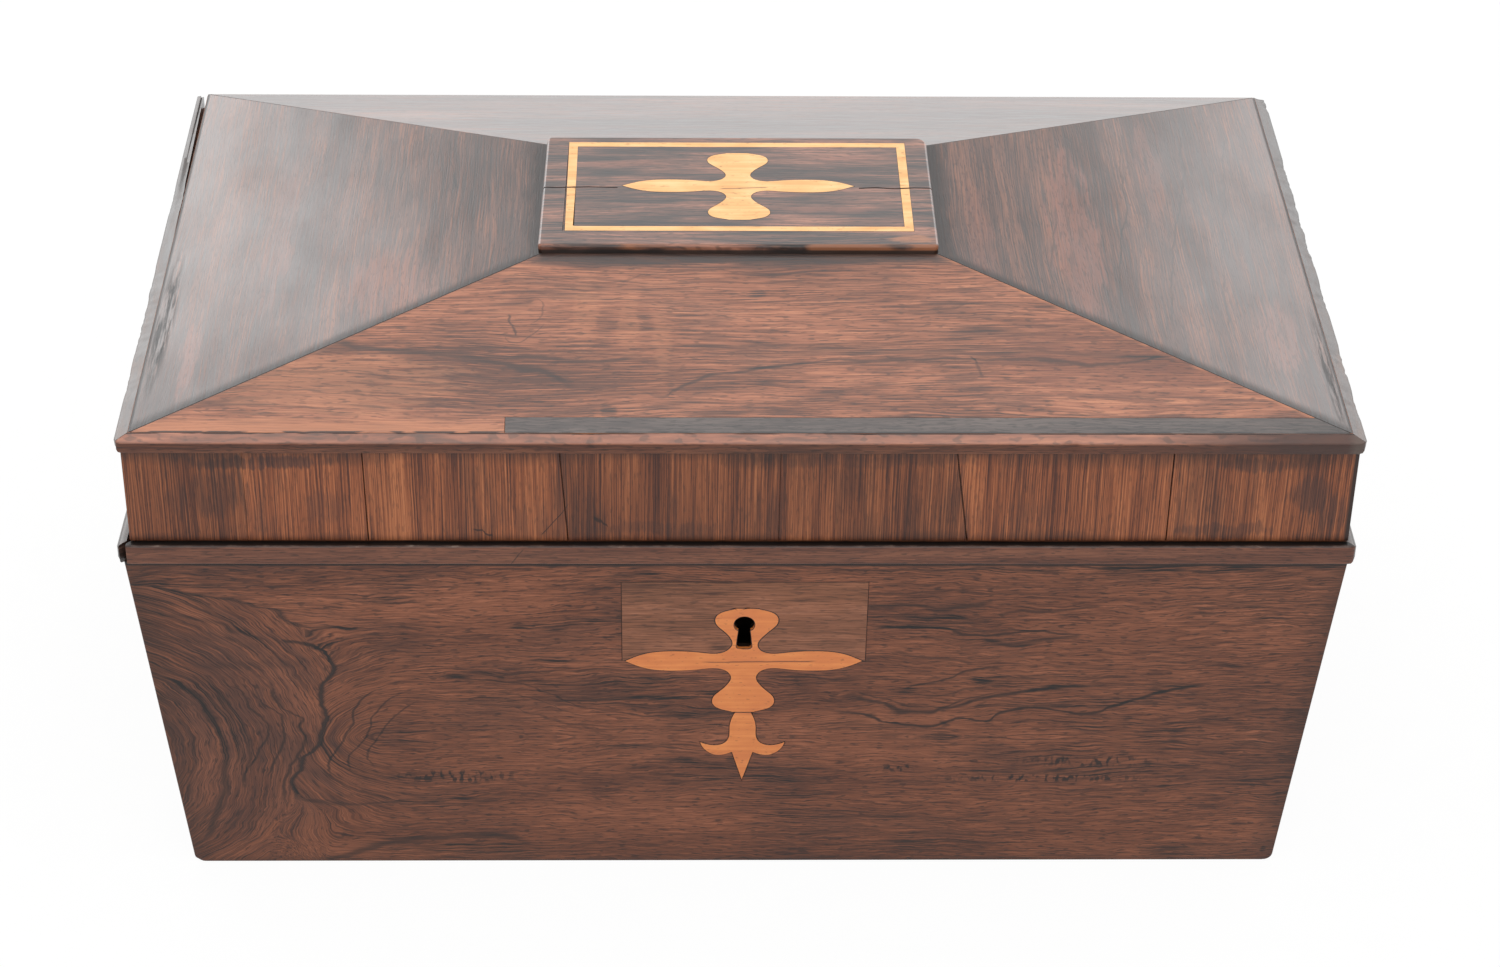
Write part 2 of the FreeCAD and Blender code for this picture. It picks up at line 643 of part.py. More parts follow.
panel_blank = leaning("bowl_panel_blank", ("ledge_top", "partition_top"),
                      lambda z: ("-bay_half", "bay_half"), well_y)
panel_hole = rod("bowl_panel_hole", "z", ("0", "bay_middle"), "ledge_bottom", "base_height - ledge_bottom",
                 "bowl_rim_radius + bowl_clearance")
node("bowl_panel", cut("bowl_panel_cut", panel_blank, panel_hole))
node("bowl_rest", rod("bowl_rest_disc", "z", ("0", "bay_middle"), "floor_board", "bowl_rest_height",
                      "bowl_rest_radius"))
node("mixing_bowl", turned("bowl", [
    ("0", "bowl_bottom"), ("bowl_foot_radius", "bowl_bottom"), ("bowl_rim_radius", "bowl_top"),
    ("bowl_rim_radius - bowl_wall", "bowl_top"), ("bowl_foot_radius - bowl_wall", "bowl_bottom + bowl_floor"),
    ("0", "bowl_bottom + bowl_floor")], "0", "bay_middle"))

# Tea lids: loose panels with a bevelled top edge, lifted by a turned knob whose spigot is glued in.
for side in SIDES:
    panel_x = mirrored_pair(side, "tea_start + tea_lid_clearance",
                          f"{core_half('ledge_top')} - board - tea_lid_clearance")
    panel_y = (f"{well_y('ledge_top')[0]} + tea_lid_clearance",
               f"{well_y('ledge_top')[1]} - tea_lid_clearance")
    lower = box(f"tea_lid_{side}_lower", panel_x, panel_y, ("ledge_top", "partition_top - tea_lid_bevel"))
    upper = tapered(f"tea_lid_{side}_upper", panel_x, panel_y,
                    (f"{panel_x[0]} + 2 * tea_lid_bevel", f"{panel_x[1]} - 2 * tea_lid_bevel"),
                    (f"{panel_y[0]} + 2 * tea_lid_bevel", f"{panel_y[1]} - 2 * tea_lid_bevel"),
                    ("partition_top - tea_lid_bevel", "partition_top"))
    centre = (f"(({panel_x[0]}) + ({panel_x[1]})) / 2", "bay_middle")
    socket = rod(f"tea_lid_{side}_socket", "z", centre, "ledge_bottom", "base_height - ledge_bottom",
                 "knob_spigot_radius + knob_fit")
    node(f"tea_lid_{side}", cut(f"tea_lid_{side}_cut", join(f"tea_lid_{side}_panel", lower, upper), socket))
    knob_profile = [("0", "ledge_top"), ("knob_spigot_radius", "ledge_top"),
                    ("knob_spigot_radius", "partition_top")]
    knob_profile += [(radius, f"partition_top + {share} * knob_height") for radius, share in (
        ("knob_foot_radius", 0), ("knob_foot_radius", 0.125), ("knob_neck_radius", 0.25),
        ("knob_neck_radius", 0.42), ("knob_radius", 0.625), ("knob_radius", 0.8),
        ("knob_radius / 2", 1), ("0", 1))]
    node(f"tea_knob_{side}", turned(f"knob_{side}", knob_profile, *centre))

# Base carcase: front and back boards run the full width, side boards and floor fit between them.
whole_base = ("0", "base_height")
front_blank = leaning("base_front_blank", whole_base, lambda z: (f"-{core_half(z)}", core_half(z)),
                      lambda z: (core_front(z), f"{core_front(z)} + board"))
back_blank = leaning("base_back_blank", whole_base, lambda z: (f"-{core_half(z)}", core_half(z)),
                     lambda z: (f"{core_rear(z)} - board", core_rear(z)))
inner_far = f"lock_face + {TOOL_MARGIN}"
plate_room = box("lock_plate_room", (f"{plate_x[0]} - lock_fit", f"{plate_x[1]} + lock_fit"),
                 ("lock_back", inner_far), ("base_height - lock_plate_height - lock_fit", "base_height"))
case_room = box("lock_case_room", (f"{case_x[0]} - lock_fit", f"{case_x[1]} + lock_fit"),
                ("lock_front - lock_fit", inner_far), (f"{case_bottom} - lock_fit", "base_height"))
selvedge_room = box("selvedge_room", (f"{plate_x[0]} - lock_fit", f"{plate_x[1]} + lock_fit"),
                    ("selvedge_front - lock_fit", inner_far), (case_top, "base_height"))
node("base_front_board", cut("base_front_cut", front_blank, plate_room, case_room, selvedge_room, keyhole,
                             *partitions.values(), *lock_drills))
node("base_back_board", cut("base_back_cut", back_blank, base_bevel, *leaf_recesses["base"], *knuckle_rooms,
                            *partitions.values(), *hinge_drills["base"]))
for side in SIDES:
    node(f"base_{side}_board", leaning(
        f"base_{side}_blank", whole_base,
        lambda z: mirrored_pair(side, f"{core_half(z)} - board", core_half(z)), well_y))
node("base_bottom_board", leaning(
    "base_floor", ("0", "floor_board"),
    lambda z: (f"-({core_half(z)} - board)", f"{core_half(z)} - board"), well_y))
node("base_brass_screws", group("base_screws", lock_screws + hinge_screws["base"]))

# Base veneers: the front one covers the side ones' edges and holds the keyhole patch, cross and fleur.
veneer_levels = ("0", "rim_bottom")
front_veneer = leaning("front_veneer_blank", veneer_levels,
                       lambda z: (f"-({core_half(z)} + veneer)", f"{core_half(z)} + veneer"),
                       lambda z: (f"{core_front(z)} - veneer", core_front(z)))
front_reach = value(core_front("0")) - value("nose_front")
upright = 90
cross_place = FreeCAD.Vector(value(lock_x), value("nose_front") + front_reach, value("front_cross_level"))
fleur_place = cross_place - FreeCAD.Vector(0, 0, value("cross_height / 2"))
front_cross = inlay_tool("front_cross", cross_face(), front_reach, cross_place, upright)
fleur = inlay_tool("fleur", fleur_face(), front_reach, fleur_place, upright)
patch_box = box("patch_box", (f"{lock_x} - patch_width / 2", f"{lock_x} + patch_width / 2"),
                ("nose_front", core_front("0")), ("front_cross_level", "base_height - patch_drop"))
node("base_front_veneer", cut("front_veneer_cut", front_veneer, patch_box, front_cross, fleur))
node("keyhole_patch", cut("patch_cut", common("patch_piece", front_veneer, patch_box), front_cross))
cross_blank = common("front_cross_piece", front_veneer, front_cross)
node("escutcheon_cross", cut("front_cross_cut", cross_blank, keyhole))
node("escutcheon_fleur", cut("fleur_cut", common("fleur_piece", front_veneer, fleur), front_cross))
for side in SIDES:
    node(f"base_{side}_veneer", leaning(
        f"{side}_veneer", veneer_levels,
        lambda z: mirrored_pair(side, core_half(z), f"{core_half(z)} + veneer"),
        lambda z: (core_front(z), f"{core_rear(z)} + veneer")))
back_veneer = leaning("back_veneer_blank", whole_base, lambda z: (f"-{core_half(z)}", core_half(z)),
                      lambda z: (core_rear(z), f"{core_rear(z)} + veneer"))
node("base_back_veneer", cut("back_veneer_cut", back_veneer, base_bevel, *knuckle_rooms))

# Mouldings: one section for the rim and one for the lid, run along the front and both sides and mitred.
far_x = f"half_lid + {TOOL_MARGIN}"
far_front = f"nose_front - {TOOL_MARGIN}"


def moulding_set(name, section, nose, ends_y, rounded_at):
    """Front and side mouldings; section gives outward distance and level, nose the mitre's outer corner."""
    front = padded(f"{name}_front", "x", [(f"-({out})", level) for out, level in section["front"]],
                   (f"-({nose[0]})", nose[0]))
    mitre = [(nose[0], nose[1]), (far_x, nose[1]), (far_x, f"{nose[1]} + {TOOL_MARGIN} * 2"),
             (f"{nose[0]} - {TOOL_MARGIN}", f"{nose[1]} + {TOOL_MARGIN}")]
    made = {"front": front}
    for out, level in rounded_at:
        rounded(front, "nose_round", lambda edge: near(edge, y=f"-({out['front']})", z=level))
    for side, sign in SIDES.items():
        pocketed(front, "z", [(f"{sign} * ({x})", y) for x, y in mitre])
        points = [(f"{sign} * ({out})", level) for out, level in section["side"]]
        strip = padded(f"{name}_{side}", "y", points, (nose[1], ends_y))
        for out, level in rounded_at:
            rounded(strip, "nose_round", lambda edge: near(edge, x=f"{sign} * ({out['side']})", z=level))
        pocketed(strip, "z", [(f"{sign} * ({x})", y) for x, y in (
            (nose[0], nose[1]), (f"{nose[0]} - {TOOL_MARGIN}", f"{nose[1]} + {TOOL_MARGIN}"),
            (f"{nose[0]} - {TOOL_MARGIN} * 2", far_front), (far_x, far_front), (far_x, nose[1]))])
        made[side] = strip
    return made


rim_nose = {"front": "-(frieze_front - rim_projection)", "side": "frieze_half + rim_projection"}
rim_core = {"front": ("-core_front_top", f"-{core_front('rim_bottom')}"),
            "side": ("core_half_top", core_half("rim_bottom"))}
rim_section = {way: [(rim_core[way][0], "base_height"), (rim_nose[way], "base_height"),
                     (f"{rim_nose[way]} - rim_undercut", "rim_bottom"), (rim_core[way][1], "rim_bottom")]
               for way in ("front", "side")}
rim = moulding_set("rim_moulding", rim_section, (rim_nose["side"], f"-({rim_nose['front']})"), "back_face",
                   [(rim_nose, "base_height"),
                    ({way: f"{nose} - rim_undercut" for way, nose in rim_nose.items()}, "rim_bottom")])
node("rim_moulding_front", rim["front"])
for side in SIDES:
    node(f"rim_moulding_{side}", cut(f"rim_{side}_cut", rim[side], base_bevel, leaning(
        f"rim_{side}_back_tool", ("0", "base_height"), lambda z: (f"-({far_x})", far_x),
        lambda z: (f"{core_rear(z)} + veneer", f"back_face + {TOOL_MARGIN}"))))

lid_nose = {"front": "-nose_front", "side": "half_lid"}
lid_bed = {"front": "-slab_front", "side": "slab_half"}
lid_section = {way: [(lid_bed[way], "frieze_top"),
                     (f"{lid_nose[way]} - lid_moulding_undercut", "frieze_top"),
                     (lid_nose[way], "frieze_top + lid_moulding_nose"), (lid_bed[way], "eave")]
               for way in ("front", "side")}
lid_mouldings = moulding_set("lid_moulding", lid_section, (lid_nose["side"], "nose_front"), "back_face",
                             [(lid_nose, "frieze_top + lid_moulding_nose")])
for way, strip in lid_mouldings.items():
    node(f"lid_moulding_{way}", strip)

# Lid carcase and frieze.
lid_levels = ("lid_bottom", "frieze_top")
link_y = ("selvedge_front", "lock_face")
link_x = (f"{lock_x} - link_plate_width / 2", f"{lock_x} + link_plate_width / 2")
link_levels = ("lid_bottom", "lid_bottom + link_plate_thickness")
link_screws, link_drills = screws_with_holes("link_screw", [
    (f"{lock_x} {sign} (link_plate_width / 2 - 2 * screw_head_radius)", "(lock_face + selvedge_front) / 2",
     "lid_bottom", "+z") for sign in "+-"])
link_bar = box("link_bar", link_x, link_y, link_levels)
node("link_plate", cut("link_plate_cut", join("link_plate_blank", link_bar, *hooks), *link_drills))
link_room = box("link_room", (f"{link_x[0]} - lock_fit", f"{link_x[1]} + lock_fit"),
                (f"{link_y[0]} - lock_fit", f"{link_y[1]} + lock_fit"), link_levels)
lid_x = ("-lid_core_half", "lid_core_half")
lid_front = box("lid_front_blank", lid_x, ("lid_core_front", "lid_core_front + board"), lid_levels)
lid_back = box("lid_back_blank", lid_x, ("core_back - board", "core_back"), lid_levels)
lid_inside_y = ("lid_core_front + board", "core_back - board")
node("lid_front_board", cut("lid_front_cut", lid_front, link_room, *link_drills))
node("lid_back_board", cut("lid_back_cut", lid_back, lid_bevel, *leaf_recesses["lid"], *knuckle_rooms,
                           *hinge_drills["lid"]))
for side in SIDES:
    board_x = mirrored_pair(side, "lid_core_half - board", "lid_core_half")
    node(f"lid_{side}_board", box(f"lid_{side}_blank", board_x, lid_inside_y, lid_levels))
    side_veneer = box(f"frieze_{side}_blank", mirrored_pair(side, "lid_core_half", "frieze_half"),
                      ("lid_core_front", "back_face"), lid_levels)
    node(f"frieze_{side}_veneer", cut(f"frieze_{side}_cut", side_veneer, lid_bevel))
lining_x = ("-(lid_core_half - board)", "lid_core_half - board")
node("lid_lining_panel", box("lid_lining_sheet", lining_x, lid_inside_y,
                             ("frieze_top - lid_lining", "frieze_top")))
joints = ["-frieze_half"] + [f"frieze_joint_{letter}" for letter in "abcdef"] + ["frieze_half"]
node("frieze_front_veneer", group("frieze_leaves", [
    box(f"frieze_leaf_{i}", (joints[i], joints[i + 1]), ("frieze_front", "lid_core_front"), lid_levels)
    for i in range(len(joints) - 1)]))
frieze_back = padded("frieze_back", "y", [
    ("-lid_core_half", "lid_bottom"), ("lid_core_half", "lid_bottom"), ("lid_core_half", "frieze_top"),
    ("slab_half", "frieze_top"), ("slab_half", "eave"), ("-slab_half", "eave"), ("-slab_half", "frieze_top"),
    ("-lid_core_half", "frieze_top")], ("core_back", "back_face"))
node("frieze_back_veneer", cut("frieze_back_cut", frieze_back, lid_bevel, *knuckle_rooms))
node("lid_brass_screws", group("lid_screws", link_screws + hinge_screws["lid"]))

# Lid top: a board planed to four slopes, and a veneer on each slope, mitred along the hips.
slab = box("top_slab", ("-slab_half", "slab_half"), ("slab_front", "core_back"), ("frieze_top", "eave"))
hipped = tapered("top_hips", ("-slab_half + side_run", "slab_half - side_run"),
                 ("slab_front + front_run", "back_face - back_run"),
                 ("-tablet_half + side_run", "tablet_half - side_run"),
                 ("tablet_front + front_run", "tablet_back - back_run"), ("eave", "ridge"))
node("lid_top_board", join("top_board", slab, hipped))


def slope_section(foot, head, run):
    return [(foot, "eave"), (head, "ridge"), (f"{head} + {run}", "ridge"), (f"{foot} + {run}", "eave")]


def hip_x(y, foot, head):
    """Distance of a hip from the middle at a place front to back."""
    return f"(slab_half - (slab_half - tablet_half) * (({y}) - ({foot})) / (({head}) - ({foot})))"


roof = {}
for way, foot, head, run in (("front", "slab_front", "tablet_front", "front_run"),
                             ("back", "back_face", "tablet_back", "-back_run")):
    slope = padded(f"roof_{way}", "x", slope_section(foot, head, run), ("-slab_half", "slab_half"))
    outside = f"{foot} - ({run})"
    inside = f"{head} + 2 * ({run})"
    for side, sign in SIDES.items():
        pocketed(slope, "z", [(f"{sign} * {hip_x(outside, foot, head)}", outside),
                              (f"{sign} * {hip_x(inside, foot, head)}", inside),
                              (f"{sign} * ({far_x})", inside), (f"{sign} * ({far_x})", outside)])
    roof[way] = slope
strip_room = box("roof_strip_room", ("roof_strip_start", far_x), (far_front, "slab_front + roof_strip_width"),
                 ("lid_bottom", "tablet_top"))
node("roof_front_veneer", cut("roof_front_cut", roof["front"], strip_room))
node("roof_front_strip", common("roof_strip_piece", roof["front"], strip_room))
node("roof_back_veneer", roof["back"])
for side, sign in SIDES.items():
    section = [(f"{sign} * ({x})", z) for x, z in slope_section("slab_half", "tablet_half", "-side_run")]
    slope = padded(f"roof_{side}", "y", section, ("slab_front", "back_face"))
    for foot, head in (("slab_front", "tablet_front"), ("back_face", "tablet_back")):
        outside = f"{foot} - (({head}) - ({foot})) / 4"
        inside = f"{head} + (({head}) - ({foot})) / 4"
        pocketed(slope, "z", [(f"{sign} * {hip_x(outside, foot, head)}", outside),
                              (f"{sign} * {hip_x(inside, foot, head)}", inside),
                              ("0", inside), ("0", outside)])
    node(f"roof_{side}_veneer", slope)

# Tablet with its stringing and cross, let into the top.
tablet_corners = [("-tablet_half", "tablet_front"), ("tablet_half", "tablet_front"),
                  ("tablet_half", "tablet_back"), ("-tablet_half", "tablet_back")]
tablet = padded("tablet", "z", tablet_corners, ("ridge", "tablet_top"))
rounded(tablet, "tablet_corner", lambda edge: abs(edge.tangentAt(edge.FirstParameter).z) > 0.9)
rounded(tablet, "tablet_edge", lambda edge: near(edge, z="tablet_top"))
inlay_bed = "tablet_top - inlay_depth"
inlay_middle = "tablet_middle + inlay_shift"
string_tools = []
half_w, half_d = "string_frame_width / 2", "string_frame_depth / 2"
corner_signs = ((-1, -1), (1, -1), (1, 1), (-1, 1))
for i, (first, second) in enumerate(zip(corner_signs, corner_signs[1:] + corner_signs[:1])):
    quad = [(f"{sx} * ({half_w} - {inset})", f"{inlay_middle} + {sy} * ({half_d} - {inset})")
            for (sx, sy), inset in ((first, "0"), (second, "0"),
                                    (second, "string_width"), (first, "string_width"))]
    string_tools.append(padded(f"string_{i}", "z", quad, (inlay_bed, "tablet_top")))
tablet_cross = inlay_tool("tablet_cross", cross_face(), value("inlay_depth"),
                          FreeCAD.Vector(0, value(inlay_middle), value(inlay_bed)))
node("lid_tablet", cut("tablet_cut", tablet, tablet_cross, *string_tools))
node("tablet_stringing", group("stringing", string_tools))
node("tablet_cross", tablet_cross)

doc.recompute()
failed = [f"{item.Name}: {item.State}" for item in doc.Objects if {"Invalid", "Error"} & set(item.State)]
failed += [label for label, item in nodes.items() if item.Shape.isNull() or not item.Shape.isValid()]
failed += [label for label, item in nodes.items() if not item.Shape.Solids]
if failed:
    raise RuntimeError("; ".join(failed))

os.makedirs("parts", exist_ok=True)
for label, item in nodes.items():
    item.Shape.exportStep(f"parts/{label}.step")
print(len(nodes), "sub-parts,", sum(len(item.Shape.Solids) for item in nodes.values()), "solids")
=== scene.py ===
# %% [markdown]
# # A rosewood tea caddy
#
# The caddy is a small locked box for tea. Its base narrows towards the table, and its lid has an
# upright frieze, a projecting moulding, four low slopes and a raised tablet. The construction is
# already packed as CAD bodies in millimetres, so Blender adds what CAD leaves out: worn edges,
# figured veneer, inlay lines, polish and light. Nothing here changes a joint or a main size.

import json
import math

import bmesh
import bpy
from mathutils import Matrix, Vector, noise


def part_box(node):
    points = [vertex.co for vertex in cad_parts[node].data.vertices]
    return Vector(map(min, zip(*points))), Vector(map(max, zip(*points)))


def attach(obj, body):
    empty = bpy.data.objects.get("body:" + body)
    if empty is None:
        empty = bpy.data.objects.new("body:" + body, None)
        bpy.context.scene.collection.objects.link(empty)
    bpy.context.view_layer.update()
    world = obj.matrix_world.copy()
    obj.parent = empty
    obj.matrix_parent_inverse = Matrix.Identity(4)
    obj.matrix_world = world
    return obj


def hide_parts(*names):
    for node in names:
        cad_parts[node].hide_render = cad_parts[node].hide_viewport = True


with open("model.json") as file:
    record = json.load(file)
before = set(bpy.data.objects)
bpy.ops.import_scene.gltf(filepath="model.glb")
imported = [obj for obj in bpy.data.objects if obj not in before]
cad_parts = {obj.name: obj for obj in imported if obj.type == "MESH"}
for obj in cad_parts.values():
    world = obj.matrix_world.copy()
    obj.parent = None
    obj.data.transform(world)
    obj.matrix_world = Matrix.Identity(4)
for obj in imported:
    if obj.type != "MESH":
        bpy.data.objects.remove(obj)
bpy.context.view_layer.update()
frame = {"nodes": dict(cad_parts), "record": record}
MM = 0.001
body_of = {node: body for body, nodes in frame["record"]["behaviour"]["bodies"].items() for node in nodes}

# %% [markdown]
# ## Camera
#
# The photograph was taken from in front and above with a long lens. Three angles, a place and a
# focal length were solved from the caddy's own corners, so they are written down as numbers here.
# Aiming a camera at an empty would be quicker, but it would not keep the slight roll of the picture.

# %% Camera
IMAGE_WIDTH = 1500
FOCAL_PIXELS = 3411.5
SENSOR = 36.0
PITCH, YAW, ROLL = 34.4996, 1.5378, 0.9177
CAMERA_PLACE = (-0.01658, -0.77572, 0.60097)


def camera_matrix():
    """Turn the three angles and the place into a Blender camera matrix."""
    pitch, yaw, roll = (math.radians(angle) for angle in (PITCH, YAW, ROLL))
    sine, cosine = math.sin(pitch), math.cos(pitch)
    level = Matrix(((1, 0, 0), (0, -sine, -cosine), (0, cosine, -sine)))
    rows = Matrix.Rotation(roll, 3, "Z") @ level @ Matrix.Rotation(yaw, 3, "Z")
    turn = Matrix((rows[0], -rows[1], -rows[2])).transposed().to_4x4()
    return Matrix.Translation(CAMERA_PLACE) @ turn


scene = bpy.context.scene
lens = bpy.data.cameras.new("studio_camera")
lens.sensor_width = SENSOR
lens.lens = FOCAL_PIXELS * SENSOR / IMAGE_WIDTH
lens.clip_start, lens.clip_end = 0.01, 50
camera = bpy.data.objects.new("studio_camera", lens)
camera.matrix_world = camera_matrix()
scene.collection.objects.link(camera)
scene.camera = camera
scene.view_settings.view_transform = "Standard"
print("lens", round(lens.lens, 1), "mm")

# %% [markdown]
# ## Nodes and colours
#
# Every material, the world and the Geometry Nodes trees are built from the same two helpers. One
# turns the sRGB colour that a colour picker shows into the linear colour that a shader works with.
# The other adds a node, sets it and links it, so a pattern reads from top to bottom like a recipe.

# %% Two helpers
def linear(hex_colour):
    """Linear colour of an sRGB hex value."""
    channels = [int(hex_colour[i:i + 2], 16) / 255 for i in (1, 3, 5)]
    return tuple(c / 12.92 if c <= 0.04045 else ((c + 0.055) / 1.055) ** 2.4 for c in channels) + (1.0,)


def add(tree, kind, inputs=(), stops=None, points=None, **settings):
    """Add one node, such as "Mapping" or "Math ADD", with its inputs given by place or by name.

    An input is a value, a node or a socket. Stops fill a colour ramp, and points bend a curve.
    """
    kind, *operation = kind.split()
    whole = kind if kind.startswith(("Geometry", "Function", "NodeGroup")) else "ShaderNode" + kind
    node = tree.nodes.new(whole)
    if operation:
        node.operation = operation[0]
    for name, value in settings.items():
        setattr(node, name, value)
    for socket, value in inputs.items() if isinstance(inputs, dict) else enumerate(inputs):
        if isinstance(value, bpy.types.Node):
            value = next(output for output in value.outputs if output.enabled)
        if isinstance(value, bpy.types.NodeSocket):
            tree.links.new(value, node.inputs[socket])
        else:
            node.inputs[socket].default_value = value
    if stops:
        while len(node.color_ramp.elements) < len(stops):
            node.color_ramp.elements.new(0.5)
        for element, (place, colour) in zip(node.color_ramp.elements, stops):
            element.position, element.color = place, linear(colour)
    if points:
        curve = node.mapping.curves[0]
        while len(curve.points) < len(points):
            curve.points.new(0.5, 0.5)
        for knot, place in zip(curve.points, points):
            knot.location = place
        node.mapping.update()
    return node


# %% [markdown]
# ## Studio
#
# The caddy stands on white paper between five soft lamps: one above, one in front, one low behind and
# two high behind it, left and right, which turn the polished lid silvery. The world is plain white where
# the camera, a reflection or the glass looks at it, and dimmer as a light, so that the background is
# white without flooding the wood.

# %% World
world = bpy.data.worlds.new("white_studio")
scene.world = world
world.use_nodes = True
tree = world.node_tree
tree.nodes.clear()


def seen_directly(tree):
    """1 where the camera, a reflection or a see-through surface looks, 0 for light on a surface."""
    path = add(tree, "LightPath")
    seen = add(tree, "Math MAXIMUM", (path.outputs["Is Camera Ray"], path.outputs["Is Glossy Ray"]))
    return add(tree, "Math MAXIMUM", (seen, path.outputs["Is Transmission Ray"]))


WORLD_LIGHT = 0.75
strength = add(tree, "MapRange", {"Value": seen_directly(tree), "To Min": WORLD_LIGHT, "To Max": 1.0})
sky = add(tree, "Background", {"Color": (1, 1, 1, 1), "Strength": strength})
add(tree, "OutputWorld", {"Surface": sky})
print("world lights the caddy at", WORLD_LIGHT)


# %% Paper floor
def new_material(name):
    """An empty node material and its tree."""
    made = bpy.data.materials.new(name)
    made.use_nodes = True
    made.node_tree.nodes.clear()
    return made, made.node_tree


def cloud(tree, place, sizes, seed=0.0, detail=2.0, rough=0.5):
    """Soft noise with blotches of about these sizes, in the units of place, usually millimetres."""
    scaled = add(tree, "VectorMath MULTIPLY_ADD", (place, [1 / size for size in sizes], (seed, seed, seed)))
    return add(tree, "TexNoise", {"Vector": scaled, "Scale": 1.0, "Detail": detail, "Roughness": rough})


# White cartridge paper, matt and faintly mottled: it takes the contact shadow and otherwise stays white.
paper, tree = new_material("matt_cartridge_paper")
spot = add(tree, "TexCoord").outputs["Object"]
mottle = cloud(tree, spot, (0.012, 0.012, 0.012), detail=4)
tint = add(tree, "ValToRGB", (mottle,), stops=((0.3, "#f1f1f0"), (0.7, "#f7f7f6")))
lit = add(tree, "BsdfDiffuse", {"Color": tint, "Roughness": 0.9})
glow = add(tree, "Emission", {"Color": (1, 1, 1, 1), "Strength": 1.0})
PAPER_WHITENESS = 0.94
share = add(tree, "Math MULTIPLY", (seen_directly(tree), PAPER_WHITENESS))
mixed = add(tree, "MixShader", (share, lit, glow))
add(tree, "OutputMaterial", {"Surface": mixed})

PAPER_HALF, PAPER_DROP = 4.0, 0.2 * MM
mesh = bpy.data.meshes.new("paper_floor")
mesh.from_pydata([(x * PAPER_HALF, y * PAPER_HALF, 0) for x, y in ((-1, -1), (1, -1), (1, 1), (-1, 1))], [],
                 [(0, 1, 2, 3)])
mesh.materials.append(paper)
floor = bpy.data.objects.new("paper_floor", mesh)
floor.location.z = -PAPER_DROP
scene.collection.objects.link(floor)
print("paper floor", 2 * PAPER_HALF, "m wide")


# %% Lamps
def softbox(name, place, aim, size, radiance):
    """A rectangular lamp of even brightness, given as radiance so that its size can change freely."""
    lamp = bpy.data.lights.new(name, "AREA")
    lamp.shape = "RECTANGLE"
    lamp.size, lamp.size_y = size
    lamp.energy = radiance * math.pi * size[0] * size[1]
    made = bpy.data.objects.new(name, lamp)
    made.location = place
    made.rotation_euler = (Vector(aim) - Vector(place)).to_track_quat("-Z", "Y").to_euler()
    scene.collection.objects.link(made)


LID = (0, 0, 0.14)
softbox("softbox_above", (0.0, 0.1, 1.5), LID, (1.5, 1.3), 1.4)
softbox("softbox_left", (-0.89, 1.22, 0.93), LID, (1.0, 1.0), 2.2)
softbox("softbox_right", (0.95, 1.20, 0.93), LID, (1.0, 0.9), 1.5)
softbox("softbox_front", (0.0, -1.7, 1.3), LID, (1.8, 1.0), 2.0)
softbox("softbox_low_behind", (0.0, 2.3, 0.26), LID, (3.4, 0.5), 0.5)
print("studio:", len(bpy.data.lights), "softboxes")

# %% [markdown]
# ## Rosewood
#
# Rosewood is a dense brown wood with near-black veins, fine streaks and open pores along the grain.
# It was sawn into thin veneer, glued to a plain carcase and French polished, which leaves a thin,
# satin, slightly uneven film. An image could not follow seven leaves and four slopes, so the wood is
# worked out from each piece's own coordinates: first turned so that X runs along the grain, then bent
# a little, then banded, streaked and pricked with pores. Sizes are real millimetres.

# %% Grain, drawn veins and blots
AXES = {"x": Vector((1, 0, 0)), "y": Vector((0, 1, 0)), "z": Vector((0, 0, 1))}


def grain_space(tree, along, across):
    """Object coordinates in millimetres, turned so that X runs along the grain and Y across it."""
    rows = Matrix((AXES[along], AXES[across], AXES[along].cross(AXES[across])))
    place = add(tree, "TexCoord").outputs["Object"]
    return add(tree, "Mapping", {"Vector": place, "Rotation": rows.to_euler(), "Scale": (1 / MM,) * 3})


def course(tree, axes, run, rise, points):
    """How far along a line drawn through points a place lies, and the level of the line there."""
    points = sorted(points, key=lambda point: point[run])
    first, last = points[0][run], points[-1][run]
    low = min(point[rise] for point in points)
    span = max(point[rise] for point in points) - low or 1.0
    part = add(tree, "MapRange", {"Value": axes.outputs[run], "From Min": first, "From Max": last})
    line = add(tree, "FloatCurve", {"Value": part},
               points=[((point[run] - first) / (last - first), (point[rise] - low) / span)
                       for point in points])
    return part, add(tree, "Math MULTIPLY_ADD", (line, span, low))


def drawn_vein(tree, axes, way, width, points):
    """Mask of a vein through points in millimetres, level (along the grain) or upright (across it)."""
    run, rise = (0, 1) if way == "level" else (1, 0)
    part, level = course(tree, axes, run, rise, points)
    off = add(tree, "Math SUBTRACT", (axes.outputs[rise], level))
    off = add(tree, "Math ABSOLUTE", (off,))
    near = add(tree, "MapRange", {"Value": off, "From Min": 0.1 * width, "From Max": 0.65 * width,
                                  "To Min": 1.0, "To Max": 0.0}, interpolation_type="SMOOTHSTEP")
    ends = add(tree, "Math PINGPONG", (part, 0.5))
    ends = add(tree, "MapRange", {"Value": ends, "From Max": 0.08})
    return add(tree, "Math MULTIPLY", (near, ends))


